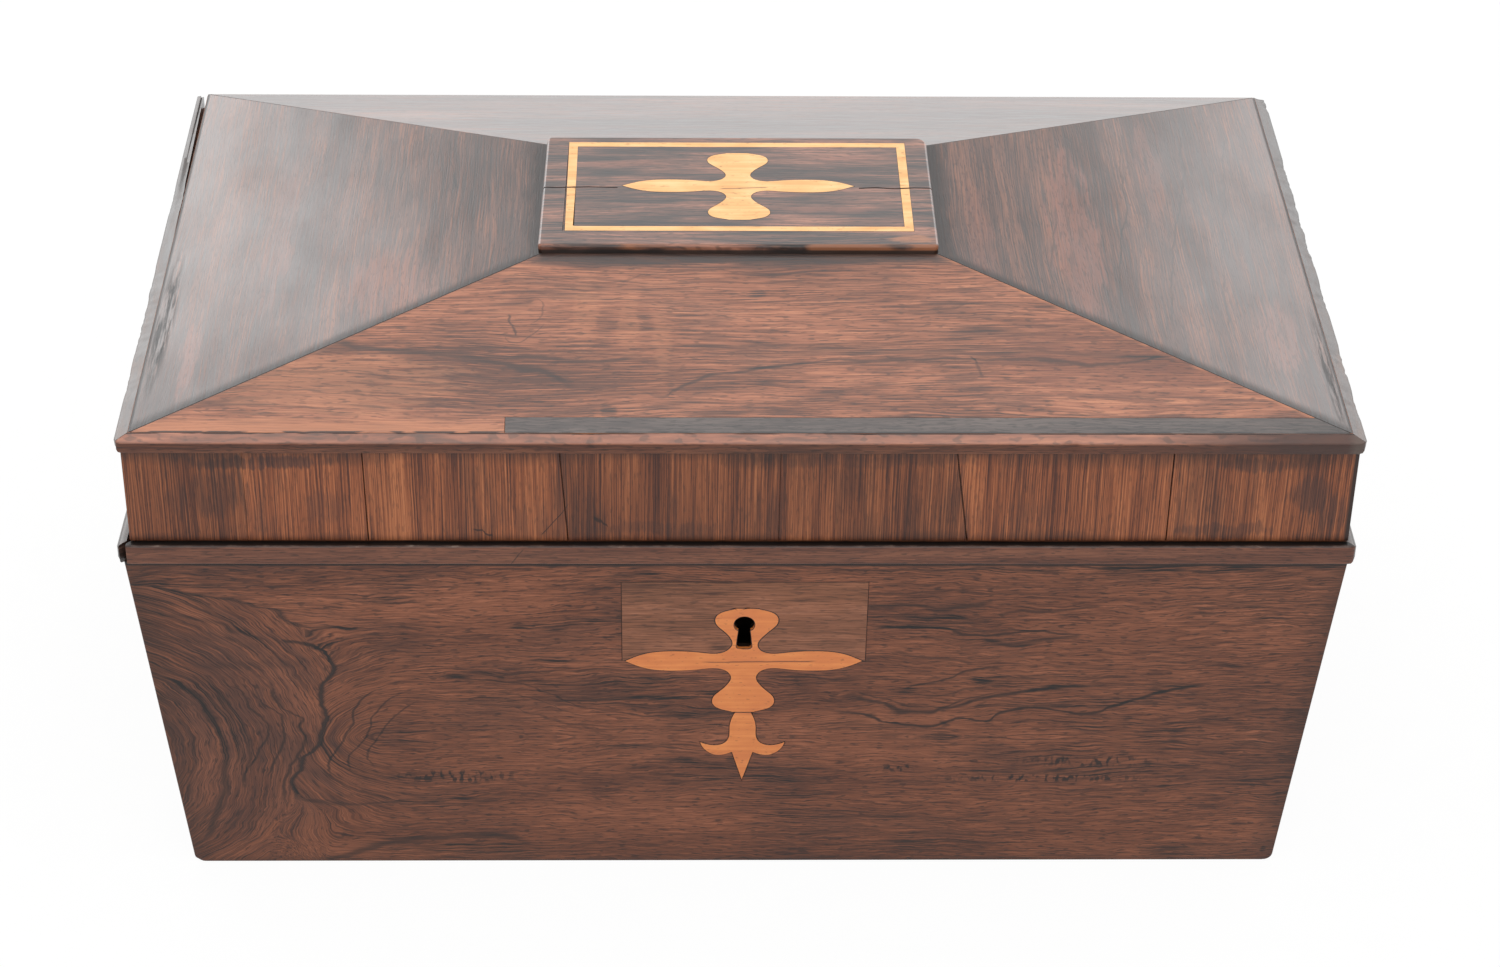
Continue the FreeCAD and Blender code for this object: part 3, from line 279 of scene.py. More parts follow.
def blot(tree, place, middle, radii):
    """Mask of a soft oval stain, with its middle and radii in millimetres."""
    scale = [1 / radius for radius in radii] + [0.0]
    centre = [-m / radius for m, radius in zip(middle, radii)] + [0.0]
    oval = add(tree, "VectorMath MULTIPLY_ADD", (place, scale, centre))
    far = add(tree, "VectorMath LENGTH", (oval,))
    return add(tree, "MapRange", {"Value": far.outputs["Value"], "From Min": 0.35, "From Max": 1.1,
                                  "To Min": 1.0, "To Max": 0.0}, interpolation_type="SMOOTHSTEP")


def fibrous(tree, mask, gate):
    """Let a soft mask end in single fibres instead of a blur."""
    over = add(tree, "Math SUBTRACT", (mask, gate))
    return add(tree, "Math MULTIPLY", (over, 2.2), use_clamp=True)


# %% Arcs round a knot
ARC_START, ARC_FULL, ARC_TALL, ARC_END = 12.0, 30.0, 26.0, 38.0  # where arcs begin and fade round an eye


def closed_arcs(tree, axes, eye):
    """The place across the grain, bent into arcs that close round an eye and open along the grain."""
    behind = add(tree, "Math SUBTRACT", (eye[0], axes.outputs[0]))
    behind = add(tree, "Math MAXIMUM", (behind, 0.0))
    behind = add(tree, "Math MULTIPLY", (behind, eye[2]))
    beside = add(tree, "Math SUBTRACT", (axes.outputs[1], eye[1]))
    beside = add(tree, "Math ABSOLUTE", (beside,))
    arc = add(tree, "CombineXYZ", (behind, beside))
    arc = add(tree, "VectorMath LENGTH", (arc,)).outputs["Value"]
    near = add(tree, "MapRange", {"Value": arc, "From Min": ARC_START, "From Max": ARC_FULL})
    level = add(tree, "MapRange", {"Value": beside, "From Min": ARC_TALL, "From Max": ARC_END, "To Min": 1.0,
                                   "To Max": 0.0})
    near = add(tree, "Math MULTIPLY", (near, level))
    return add(tree, "Mix", {0: near, 2: beside, 3: arc}, data_type="FLOAT")


SEAM_LOW, SEAM_HIGH, SEAM_SOFT, SEAM_SHARP = 14.0, 24.0, 10.0, 0.3  # levels and blur of the edge of a wing


def turned_back(tree, grain, axes, drawn_axes, run, off, wing):
    """The places along and across the grain, bent round a second centre past a drawn line."""
    centre, line = wing
    out = add(tree, "VectorMath MULTIPLY_ADD", (grain, (1, 1, 0), (-centre[0], -centre[1], 0)))
    out = add(tree, "VectorMath LENGTH", (out,)).outputs["Value"]
    past = add(tree, "Math SUBTRACT", (course(tree, drawn_axes, 1, 0, line)[1], drawn_axes.outputs[0]))
    soft = add(tree, "MapRange", {"Value": axes.outputs[1], "From Min": SEAM_LOW, "From Max": SEAM_HIGH,
                                  "To Min": SEAM_SOFT, "To Max": SEAM_SHARP})
    blend = add(tree, "Math MULTIPLY", (soft, -1.0))
    past = add(tree, "MapRange", {"Value": past, "From Min": blend, "From Max": soft},
               interpolation_type="SMOOTHSTEP")
    off = add(tree, "Mix", {0: past, 2: off, 3: out}, data_type="FLOAT")
    run = add(tree, "Mix", {0: past, 2: run, 3: axes.outputs[1]}, data_type="FLOAT")
    return run, off


# %% Rosewood recipe
VENEER_INK, DUSK = "#120c0b", "#2b1c1a"
TONE_PLACES = (0.34, 0.45, 0.55, 0.68)
WANDER = 5.0  # a drawn line sways by up to half of this, in millimetres
WIDE_BLOT = 2.5  # a stain wider than this ends in single fibres


def rosewood(name, along, across, tones, seed=0.0, eye=None, wing=None, bend=4.0, ripple=2.0, bands=14.0,
             length=150.0, fibre=(10, 0.4), veins=0.5, spacing=6.0, flecks=0.5, contrast=(0.8, 0.6), dusk=0.4,
             drawn=(), blots=(), layers=None, polish=None, roughness=0.36, coat=0.3, specular=0.5):
    """French-polished rosewood, with tones from dark to light and sizes in millimetres.

    An eye is where nested arcs of figure start and a wing where they turn back. Bend and ripple sway the
    grain, bands and length size its growth bands, fibre its streaks, and spacing parts its thin veins.
    """
    made, tree = new_material(name)
    grain = grain_space(tree, along, across)
    # The board was never straight: long bends about 90 mm apart carry smaller ones about 13 mm apart.
    slow = cloud(tree, grain, (90, 24, 24), seed)
    quick = cloud(tree, grain, (13, 6, 6), seed + 7, 4.0)
    axes = add(tree, "SeparateXYZ", (grain,))
    wander = add(tree, "Math MULTIPLY_ADD", (quick, WANDER, -WANDER / 2))
    wander = add(tree, "CombineXYZ", (wander, wander))
    wandering = add(tree, "VectorMath ADD", (grain, wander))
    drawn_axes = add(tree, "SeparateXYZ", (wandering,))
    run, off = axes.outputs[0], axes.outputs[1]
    if eye:
        off = closed_arcs(tree, axes, eye)
    if wing:
        run, off = turned_back(tree, grain, axes, drawn_axes, run, off, wing)
    off = add(tree, "Math MULTIPLY_ADD", (slow, 2 * bend, off))
    off = add(tree, "Math MULTIPLY_ADD", (quick, ripple, off))
    figure = add(tree, "CombineXYZ", (run, off, seed))
    # Growth bands of mixed widths, fibres about 0.4 mm wide, and flecks 3 mm long where pores were cut.
    # Real pores are 0.2 mm wide, too fine for this picture, so they are drawn 0.5 mm wide.
    band = cloud(tree, figure, (length, bands, 50), seed + 1, 4.0, 0.65)
    streak = cloud(tree, figure, (*fibre, 50), seed + 2, 2.0, 0.6)
    thread = cloud(tree, figure, (16, 1.1, 50), seed + 5, 4.0, 0.6)
    gate = add(tree, "MapRange", {"Value": thread, "From Min": 0.36, "From Max": 0.64, "To Min": 0.1,
                                  "To Max": 0.9})
    fleck = cloud(tree, figure, (3.2, 0.5, 50), seed + 4, 1.0)
    mottle = cloud(tree, grain, (42, 18, 18), seed + 9, 3.0, 0.6)
    tone = add(tree, "Math MULTIPLY_ADD", (band, contrast[0], 0.5 - sum(contrast) / 2))
    tone = add(tree, "Math MULTIPLY_ADD", (streak, contrast[1], tone))
    colour = add(tree, "ValToRGB", (tone,), stops=list(zip(TONE_PLACES, tones)))
    shade = add(tree, "MapRange", {"Value": mottle, "From Min": 0.34, "From Max": 0.6, "To Min": 1.0,
                                   "To Max": 0.0})
    shade = add(tree, "Math MULTIPLY", (fibrous(tree, shade, gate), dusk))
    colour = add(tree, "Mix", {0: shade, 6: colour, 7: linear(DUSK)}, data_type="RGBA")
    broken = add(tree, "MapRange", {"Value": streak, "From Min": 0.36, "From Max": 0.6, "To Min": 1.15,
                                    "To Max": 0.3})
    # Thin dark veins are the contour lines of one more slow noise; the strongest lines are drawn one by one.
    contour = cloud(tree, figure, (200, spacing, 50), seed + 3, 2.0)
    contour = add(tree, "Math SUBTRACT", (contour, 0.5))
    contour = add(tree, "Math ABSOLUTE", (contour,))
    ink = add(tree, "MapRange", {"Value": contour, "From Min": 0.004, "From Max": 0.035, "To Min": veins,
                                 "To Max": 0.0}, interpolation_type="SMOOTHSTEP")
    patchy = add(tree, "MapRange", {"Value": mottle, "From Min": 0.6, "From Max": 0.42})
    ink = add(tree, "Math MULTIPLY", (ink, patchy))
    lines = 0.0
    for way, width, depth, points in drawn:
        mask = drawn_vein(tree, drawn_axes, way, width, points)
        lines = add(tree, "Math MULTIPLY_ADD", (mask, 0.85 * depth, lines))
    for middle, radii, depth, *tint in blots:
        mask = blot(tree, wandering, middle, radii)
        if min(radii) > WIDE_BLOT:
            mask = fibrous(tree, mask, gate)
        if tint:
            mask = add(tree, "Math MULTIPLY", (mask, depth))
            colour = add(tree, "Mix", {0: mask, 6: colour, 7: linear(tint[0])}, data_type="RGBA")
        else:
            ink = add(tree, "Math MULTIPLY_ADD", (mask, depth, ink))
    ink = add(tree, "Math MULTIPLY_ADD", (ink, broken, lines))
    prick = add(tree, "MapRange", {"Value": fleck, "From Min": 0.57, "From Max": 0.66, "To Max": flecks})
    ink = add(tree, "Math MAXIMUM", (ink, prick), use_clamp=True)
    colour = add(tree, "Mix", {0: ink, 6: colour, 7: linear(VENEER_INK)}, data_type="RGBA")
    if layers:
        colour = layers(tree, grain, colour)
    rough = add(tree, "MapRange", {"Value": streak, "From Min": 0.3, "From Max": 0.7,
                                   "To Min": roughness - 0.07, "To Max": roughness + 0.09})
    height = add(tree, "Math MULTIPLY_ADD", (prick, -0.7, streak))
    bump = add(tree, "Bump", {"Height": height, "Strength": 0.3, "Distance": 0.12 * MM})
    shader = add(tree, "BsdfPrincipled", {"Base Color": colour, "Roughness": rough, "Normal": bump,
                                          "IOR": 1.5, "Specular IOR Level": specular, "Coat Roughness": 0.22,
                                          "Coat Weight": polish(tree, grain) if polish else coat})
    add(tree, "OutputMaterial", {"Surface": shader})
    return made


# %% [markdown]
# ## Veneer on the base
#
# The front of the base is one sheet with a knot at its left, so its lines close into arcs there. On
# its right the grain runs level, crossed by one long inky vein. The strongest lines give the sheet its
# character, so these are drawn through a few points each with Float Curve nodes; the rest is left to
# the recipe.

# %% Veins and stains on the front of the base
BASE_HALF, BASE_TOP, RIM_FOOT = 152.0, 110.0, 103.2
BASE_LEAN = 8.2 / BASE_TOP
BASE_VEINS = (
    ("upright", 1.9, 1.0, ((-110.2, 77.5), (-107.8, 76.6), (-105.6, 74.3), (-103.8, 72), (-103.4, 69.3),
        (-104.8, 65.5), (-107, 62.4), (-107.4, 59.7), (-106.9, 55.4), (-106.6, 51), (-107.7, 45.5),
        (-110, 40.5), (-113, 37.7), (-114, 33.3), (-116, 30.5), (-115.7, 26.5), (-114, 23.7),
        (-110.8, 21.8))),
    ("level", 1.5, 0.9, ((-116, 78.5), (-111, 77.6), (-108, 76.8), (-105.6, 74.6), (-103.6, 71.4))),
    ("upright", 2.6, 0.75, ((-150, 69), (-146, 66), (-140, 59.6), (-136, 52), (-134, 44.5), (-133.3, 37.7),
        (-133.6, 29), (-136, 21), (-138.5, 14), (-139.5, 8))),
    ("upright", 1.0, 0.8, ((-134, 64.5), (-126.6, 59.5), (-124, 54), (-122.3, 50), (-121.8, 46.6),
        (-123.5, 42), (-125.5, 37.7), (-128.4, 32), (-130, 26.5))),
    ("upright", 1.0, 0.8, ((-127, 62), (-123, 59.4), (-119, 54), (-117.6, 49), (-118, 42.5), (-121, 36),
        (-123.5, 30))),
    ("upright", 1.3, 0.8, ((-122, 64), (-118.3, 58.5), (-115, 53), (-112.3, 49), (-112.1, 44.5),
        (-113.9, 39), (-117.2, 33.5), (-118.5, 28), (-119, 22))),
    ("upright", 0.9, 0.85, ((-89, 63), (-95, 60), (-98, 56), (-99.5, 51), (-101.5, 46), (-104.5, 40),
        (-107, 35), (-106, 31))),
    ("upright", 0.8, 0.8, ((-84, 61), (-91, 57), (-94, 52), (-96, 47), (-98.5, 42), (-101.5, 37),
        (-101, 33))),
    ("upright", 0.8, 0.75, ((-82, 58), (-87, 54), (-91, 49), (-94, 44), (-96, 39), (-95, 34))),
    ("level", 1.3, 0.75, ((-150, 96), (-142, 94.5), (-134, 92.5), (-126, 91), (-120, 89), (-114, 86),
        (-109, 83.5), (-103, 82.8), (-96, 82.2))),
    ("level", 2.0, 0.5, ((-149, 88), (-141, 86), (-135, 84), (-127, 81.5), (-120, 78))),
    ("level", 1.1, 0.6, ((-115, 24.6), (-111, 22.3), (-104, 21.4), (-97, 21), (-89, 21.4), (-76, 22.5))),
    ("level", 2.6, 0.75, ((-112, 0.5), (-103, 3), (-96, 5.5), (-88, 7.5), (-78, 8.8), (-66, 8.8),
        (-54, 7.5))),
    ("level", 1.3, 1.0, ((22, 54.4), (31.5, 53.1), (36.3, 52), (40.4, 50.1), (45.3, 49.2), (49.7, 48.7),
        (52.9, 49.8), (55.6, 51.1), (58, 52), (60.3, 51.2), (64.4, 50.7), (66.7, 52.9), (69.8, 54.2),
        (74.6, 55.1), (79.4, 55.3), (82.6, 54.2), (87.5, 53.3), (92.3, 53.3), (95.4, 55.3), (99.3, 56.9),
        (103.2, 58.4), (107.8, 60.2), (114, 62), (122, 64))),
    ("level", 1.8, 0.9, ((26, 59.8), (31, 58.4), (36, 56.4), (40, 54.5), (44, 53.4), (48, 53), (52, 54.8),
        (57, 56.4), (61.6, 58), (66.4, 59.1), (71, 60.2), (76, 61.3), (81, 61.8), (92, 62.5))),
    ("level", 0.8, 0.7, ((29, 60.8), (37, 58.2), (44, 55.6), (50, 55.4), (58, 58.4), (68, 60.8))),
    ("level", 0.9, 0.8, ((42, 61), (45, 62.9), (49.7, 63.9), (54.5, 65.5), (56.5, 67), (60, 67.9), (67, 68))),
    ("level", 0.8, 0.6, ((43, 59.7), (50, 59.2), (55, 60.2), (59, 62.4), (65, 63))),
    ("level", 1.5, 0.6, ((39, 74.6), (45, 73.6), (50, 72.4), (54, 71.3), (60, 70.2))),
    ("level", 1.3, 0.9, ((31.2, 81.9), (39.5, 82.2), (46, 82.1), (51, 82.1), (54, 81), (59, 80.3),
        (63.5, 80.1), (70, 80.8), (75, 81.6), (81, 80.3), (87, 79.8))),
    ("level", 1.7, 0.7, ((61, 78.6), (65, 78.2), (70, 77.1), (74.6, 77.5), (79.6, 78.2), (87, 79.4))),
    ("level", 1.7, 0.7, ((31, 89.7), (42, 90), (50, 88.6), (54.6, 89.4), (63, 90.2))),
    ("level", 1.0, 0.6, ((65, 87.2), (74, 88.1), (80.6, 88.3), (91, 89.3))),
    ("level", 0.8, 0.55, ((31, 86), (41, 86.8), (48, 86.3), (59, 86.7))),
    ("level", 0.8, 0.55, ((31, 93.5), (42, 94.2), (48, 94.8), (58, 94), (71, 93.4))),
    ("level", 0.9, 0.5, ((34, 96.6), (46, 97), (60, 96.2), (73, 97))),
    ("level", 0.9, 0.45, ((102, 70), (112, 71), (122, 70), (136, 71.4))),
    ("level", 1.2, 0.5, ((132, 53.6), (140, 54.6), (147, 54.4))),
    ("level", 0.7, 0.6, ((-74, 64), (-62, 65), (-52, 62), (-42, 57), (-34, 54), (-22, 52.5))),
    ("level", 0.6, 0.5, ((-80, 60), (-66, 61), (-54, 58), (-44, 53.5), (-34, 51))),
    ("level", 0.6, 0.5, ((-70, 57), (-58, 55.5), (-46, 50), (-36, 48))),
)
BASE_BLOTS = (
    ((62, 64.7), (4.6, 1.1), 1.0), ((43, 61), (3.2, 1.4), 1.0), ((78, 61.2), (6, 0.8), 0.7),
    ((84, 87), (6, 0.7), 0.5), ((53.6, 48.8), (1.5, 1.1), 0.9), ((65, 50), (1.6, 1.0), 0.7),
    ((107.5, 61), (3.5, 1.3), 0.8), ((130, 89), (5, 1.0), 0.7), ((112, 102.6), (50, 2.8), 0.9),
    ((60, 101.5), (28, 0.8), 0.5), ((-27, 62.5), (11, 2.6), 0.8), ((-20, 65.3), (16, 1.7), 0.8),
    ((-21, 58.6), (10, 1.3), 0.7), ((-5, 76.5), (2.6, 2.2), 0.6), ((-54.5, 83.1), (4.5, 0.6), 1.0),
    ((-46, 82), (4, 0.5), 0.9), ((-60, 66.5), (1.5, 0.9), 0.9), ((-50, 71.5), (7, 0.8), 0.6),
    ((-68, 3), (34, 6.5), 0.55), ((-100, 82.4), (5, 0.9), 0.8), ((-12, 49), (12, 3), 0.4),
    ((30, 49), (14, 2.5), 0.45), ((112, 63), (8, 1.6), 0.5), ((62, 15), (26, 2.2), 0.35),
    ((118, 4.5), (12, 1.6), 0.6), ((77.5, 8), (2.4, 0.7), 0.7), ((132, 85), (9, 0.9), 0.5),
    ((120, 96), (22, 0.8), 0.4), ((-148, 72), (36, 34), 0.3), ((-147, 98), (7, 5), 0.5),
    ((146, 92), (44, 20), 0.35), ((141.6, 4.4), (1.2, 1.4), 1.2), ((112, 46), (16, 1.0), 0.35),
    ((-1.5, 37.3), (1.8, 1.0), 0.9), ((-123, 70), (18, 2), 0.35), ((-88, 31), (5, 1.1), 0.7),
    ((-126, 44), (34, 66), 0.3, "#3f2a27"))
KNOT_EDGE = (
    (-116, 0), (-116, 10), (-113.5, 21), (-115.8, 26), (-116, 30.5), (-114, 33.3), (-113, 37.7),
    (-110, 40.5), (-107.7, 45.5), (-106.6, 51), (-106.9, 55.4), (-107.4, 59.7), (-107, 62.4),
    (-104.8, 65.5), (-103.4, 69.3), (-103.8, 72), (-105.6, 74.3), (-109, 77), (-110, 83), (-114, 86),
    (-120, 89), (-126, 91), (-134, 92.5), (-142, 94.5), (-150, 96), (-165, 104))
print(len(BASE_VEINS), "veins and", len(BASE_BLOTS), "stains drawn on the front of the base")

# %% [markdown]
# ## Wear on the base
#
# Edges of polished veneer darken where hands and wax collect, and a dull plane leaves short rows of
# torn grain. Both could be painted by hand, but here they follow from the place: a mask is worked out
# from the distance to an edge, and the torn rows are a fine noise kept inside a few ovals.

# %% Wear and painted shade on the front of the base
PLANE_TEARS = (((92, 36.3), (22, 2.6)), ((80, 30.2), (34, 1.8)), ((-74, 31), (20, 3.0)), ((42, 34), (6, 2.0)))


def base_marks_and_shade(tree, grain, colour):
    """Dark arrises, torn plane marks, and wax with painted shade in the joint under the rim."""
    axes = add(tree, "SeparateXYZ", (grain,))
    x, z = axes.outputs[0], axes.outputs[1]
    side = add(tree, "Math ABSOLUTE", (x,))
    half = add(tree, "Math MULTIPLY_ADD", (z, BASE_LEAN, BASE_HALF - BASE_LEAN * BASE_TOP))
    inset = add(tree, "Math SUBTRACT", (half, side))
    edge = add(tree, "MapRange", {"Value": inset, "From Max": 7.0, "To Min": 0.45, "To Max": 0.0})
    foot = add(tree, "MapRange", {"Value": z, "From Min": 0.3, "From Max": 2.2, "To Min": 0.4, "To Max": 0.0})
    edge = add(tree, "Math MAXIMUM", (edge, foot))
    # Painted shade with wax: the top of the veneer turns nearly black under the overhanging rim.
    top = add(tree, "MapRange", {"Value": z, "From Min": RIM_FOOT - 0.6, "From Max": RIM_FOOT, "To Max": 0.95})
    edge = add(tree, "Math MAXIMUM", (edge, top))
    tear = cloud(tree, grain, (1.3, 2.6, 2), 31, 1.0)
    tear = add(tree, "MapRange", {"Value": tear, "From Min": 0.5, "From Max": 0.62, "To Max": 0.9})
    rows = 0.0
    for middle, radii in PLANE_TEARS:
        rows = add(tree, "Math MAXIMUM", (rows, blot(tree, grain, middle, radii)))
    tear = add(tree, "Math MULTIPLY", (tear, rows))
    dark = add(tree, "Math MAXIMUM", (edge, tear))
    return add(tree, "Mix", {0: dark, 6: colour, 7: linear(VENEER_INK)}, data_type="RGBA")


# %% Woods of the base
BASE_TONES = ("#391d13", "#5d3422", "#784730", "#945b41")
base_front_wood = rosewood(
    "rosewood_veneer_french_polished_base", "x", "z", BASE_TONES, 3.0, eye=(-80, 45, 0.85),
    wing=((-168, 38), KNOT_EDGE), ripple=3.0, length=100.0, veins=0.95, spacing=3.4, flecks=0.6,
    contrast=(0.46, 0.6), dusk=0.3, drawn=BASE_VEINS, blots=BASE_BLOTS, layers=base_marks_and_shade, coat=0.0,
    specular=0.36)
base_side_wood = rosewood(
    "rosewood_veneer_french_polished_sides", "y", "z", BASE_TONES, 17.0, veins=0.8, coat=0.1)
base_back_wood = rosewood(
    "rosewood_veneer_french_polished_back", "x", "z", BASE_TONES, 29.0, bend=9.0, veins=0.8, coat=0.1)
PATCH_TONES = ("#4f2d1e", "#70462f", "#82523a", "#96634a")
patch_wood = rosewood(
    "rosewood_patch_straight_grained", "x", "z", PATCH_TONES, 41.0, bend=1.5, ripple=1.0, veins=0.2,
    flecks=0.4, dusk=0.2, coat=0.0, specular=0.36,
    blots=(((-5, 76.5), (3, 2.2), 0.6), ((20, 92), (9, 0.5), 0.5)))
print("base veneers:", len(BASE_VEINS), "drawn veins on the front")

# %% [markdown]
# ## Veneer on the lid
#
# The four slopes were cut from a redder board. The front one is warm and shows its figure; the sides
# lie flat to the light and shine silvery. The frieze was cut across the grain into seven leaves, whose
# fine stripes stand upright. A grey strip along the foot of the front slope is an old repair.

# %% Veins and stains on the front slope
EAVE_FRONT, EAVE_SIDE = -85.2, 149.2
ROOF_HEAD_FRONT, ROOF_HEAD_SIDE = -28.2, 50.6
ROOF_VEINS = (
    ("level", 2.8, 0.8, ((-104, -56.5), (-92, -58.5), (-82, -60), (-72, -61.2), (-62, -63.5), (-52, -66),
        (-46, -68), (-40, -72))),
    ("level", 1.7, 0.65, ((-66, -61.5), (-52, -61.5), (-40, -62.6), (-26, -62))),
    ("level", 1.2, 0.75, ((-28, -70.5), (-24, -72.6), (-20, -74), (-17, -72), (-12, -69.5), (-6, -67),
        (2, -65.6), (12, -63.8), (24, -62.6), (40, -62.6), (60, -62.2), (76, -63), (90, -64), (97, -63.6),
        (103, -61.6), (109, -60.4))),
    ("level", 2.2, 0.45, ((10, -60), (30, -59.5), (52, -60), (74, -60), (96, -61), (108, -60.4))),
    ("upright", 0.8, 0.8, ((-57.6, -47.5), (-57, -51), (-55.8, -55))),
    ("level", 0.6, 0.6, ((-59, -54), (-56, -57), (-52.5, -55), (-49, -51))),
    ("upright", 0.6, 0.5, ((-52, -43), (-49, -46), (-50, -49), (-54, -51.5))),
    ("upright", 0.9, 0.6, ((57.3, -60.5), (58, -64), (58.6, -69))),
    ("level", 0.7, 0.45, ((-44, -36), (-34, -37.5), (-24, -35), (-12, -33.5), (4, -34.5), (20, -33))),
    ("level", 0.6, 0.5, ((-8, -48.5), (-4, -49.5), (0, -50.3))),
    ("level", 0.6, 0.4, ((60, -46), (72, -45), (84, -47), (94, -50))),
    ("level", 0.6, 0.4, ((20, -48), (40, -47), (56, -45), (66, -43.5))),
    ("level", 0.7, 0.4, ((-128, -73), (-114, -72), (-98, -73), (-82, -75), (-64, -77))),
    ("level", 0.6, 0.4, ((-118, -67), (-104, -66), (-90, -67.5), (-74, -70), (-58, -74))),
)
ROOF_BLOTS = (
    ((-32.6, -78.6), (3.2, 3.8), 0.9), ((4, -41.5), (2.8, 1.9), 0.8), ((-1.5, -41), (1.5, 1), 0.6),
    # The long stain at y -29.4, along the foot of the tablet, is painted shade with dust.
    ((43.5, -72), (2.2, 1.1), 0.7), ((100, -62), (9, 1.3), 0.7), ((0, -29.4), (54, 2.0), 0.75),
    ((-5, -79.4), (7, 1.8), 0.5), ((-97, -79), (4, 0.7), 0.6), ((-139, -77.8), (3, 0.8), 0.9),
    ((40, -33), (8, 0.9), 0.4), ((-66, -79.4), (6, 1.0), 0.4), ((96, -80.3), (52, 1.2), 0.6),
    ((-100, -70), (44, 14), 0.4, "#b27552"), ((100, -62), (56, 22), 0.65, "#6d3d2b"),
    ((28, -41), (9, 1.0), 0.45), ((62, -53), (10, 0.9), 0.4), ((-39, -48), (4.5, 17), 0.22, "#b87853"),
    ((-28, -51), (4.0, 16), 0.2, "#b87853"), ((-20, -57), (3.6, 15), 0.2, "#b87853"),
    ((-33.5, -52), (3.0, 15), 0.22), ((-23.8, -49), (2.8, 13), 0.18), ((-13.5, -47), (3.4, 12), 0.2),
    ((-46, -53), (3.4, 14), 0.15))

print(len(ROOF_VEINS), "veins and", len(ROOF_BLOTS), "stains drawn on the front slope")


# %% Wear and painted shade on the front slope
def eave_gap_shade(tree, grain, colour):
    """The veneer has shrunk from the moulding at the eave, and the gap is painted as a broken black line of
    shade.
    """
    axes = add(tree, "SeparateXYZ", (grain,))
    gap = cloud(tree, grain, (11, 3, 3), 57, 2.0)
    gap = add(tree, "MapRange", {"Value": gap, "From Min": 0.44, "From Max": 0.5})
    eave = add(tree, "MapRange", {"Value": axes.outputs[1], "From Min": EAVE_FRONT + 0.45,
                                  "From Max": EAVE_FRONT + 0.7, "To Min": 0.95, "To Max": 0.0})
    gap = add(tree, "Math MULTIPLY", (gap, eave))
    return add(tree, "Mix", {0: gap, 6: colour, 7: linear(VENEER_INK)}, data_type="RGBA")


def hip_line(tree, y):
    """How far to the left or right the front hips lie at y."""
    rise = (EAVE_SIDE - ROOF_HEAD_SIDE) / (ROOF_HEAD_FRONT - EAVE_FRONT)
    return add(tree, "Math MULTIPLY_ADD", (y, -rise, EAVE_SIDE + rise * EAVE_FRONT))


def roof_front_marks_and_shade(tree, grain, colour):
    """Pale sapwood at the lower left, rubbed hips, and old wax, dust and painted shade along the foot of the
    tablet.
    """
    axes = add(tree, "SeparateXYZ", (grain,))
    x, y = axes.outputs[0], axes.outputs[1]
    ragged = cloud(tree, grain, (22, 1.6, 5), 53, 3.0)
    level = add(tree, "Math MULTIPLY_ADD", (ragged, 9.0, y))
    pale = add(tree, "MapRange", {"Value": level, "From Min": -75.5, "From Max": -78.0, "To Max": 0.7})
    left = add(tree, "MapRange", {"Value": x, "From Min": -52.0, "From Max": -66.0})
    pale = add(tree, "Math MULTIPLY", (pale, left))
    colour = add(tree, "Mix", {0: pale, 6: colour, 7: linear("#b27350")}, data_type="RGBA")
    side = add(tree, "Math ABSOLUTE", (x,))
    inset = add(tree, "Math SUBTRACT", (hip_line(tree, y), side))
    worn = add(tree, "MapRange", {"Value": inset, "From Min": 0.4, "From Max": 2.4, "To Min": 0.65,
                                  "To Max": 0.0})
    touched = cloud(tree, grain, (9, 3, 3), 81, 3.0)
    touched = add(tree, "MapRange", {"Value": touched, "From Min": 0.42, "From Max": 0.6})
    worn = add(tree, "Math MULTIPLY", (worn, touched))
    rubbed = add(tree, "MapRange", {"Value": x, "From Min": -40.0, "From Max": 40.0})
    rubbed = add(tree, "Mix", {0: rubbed, 6: linear("#7a4a33"), 7: linear("#bb7750")}, data_type="RGBA")
    colour = add(tree, "Mix", {0: worn, 6: colour, 7: rubbed}, data_type="RGBA")
    # Wax, dust and painted shade in a dark band along the foot of the tablet.
    foot = add(tree, "Math MULTIPLY_ADD", (ragged, -5.0, y))
    foot = add(tree, "MapRange", {"Value": foot, "From Min": -35.4, "From Max": -33.2, "To Max": 0.85})
    under = add(tree, "MapRange", {"Value": side, "From Min": 56.0, "From Max": 50.0})
    foot = add(tree, "Math MULTIPLY", (foot, under))
    colour = add(tree, "Mix", {0: foot, 6: colour, 7: linear("#241c1a")}, data_type="RGBA")
    return eave_gap_shade(tree, grain, colour)


# %% [markdown]
# ## Side slopes
#
# The two side slopes catch the lamps behind the caddy, so how polished they are shows more than their
# colour. The film of polish is the Coat of the shader, and its weight is a mask like any other: high
# where cloths have rubbed, low in dull patches, and nothing where wax, bruises and painted shade lie.

# %% Dirt, painted shade and polish on the side slopes
EDGE_BRUISES = (((-36, -146.2), (40, 3.0), 1.0), ((-58, 147.2), (34, 1.8), 0.9))


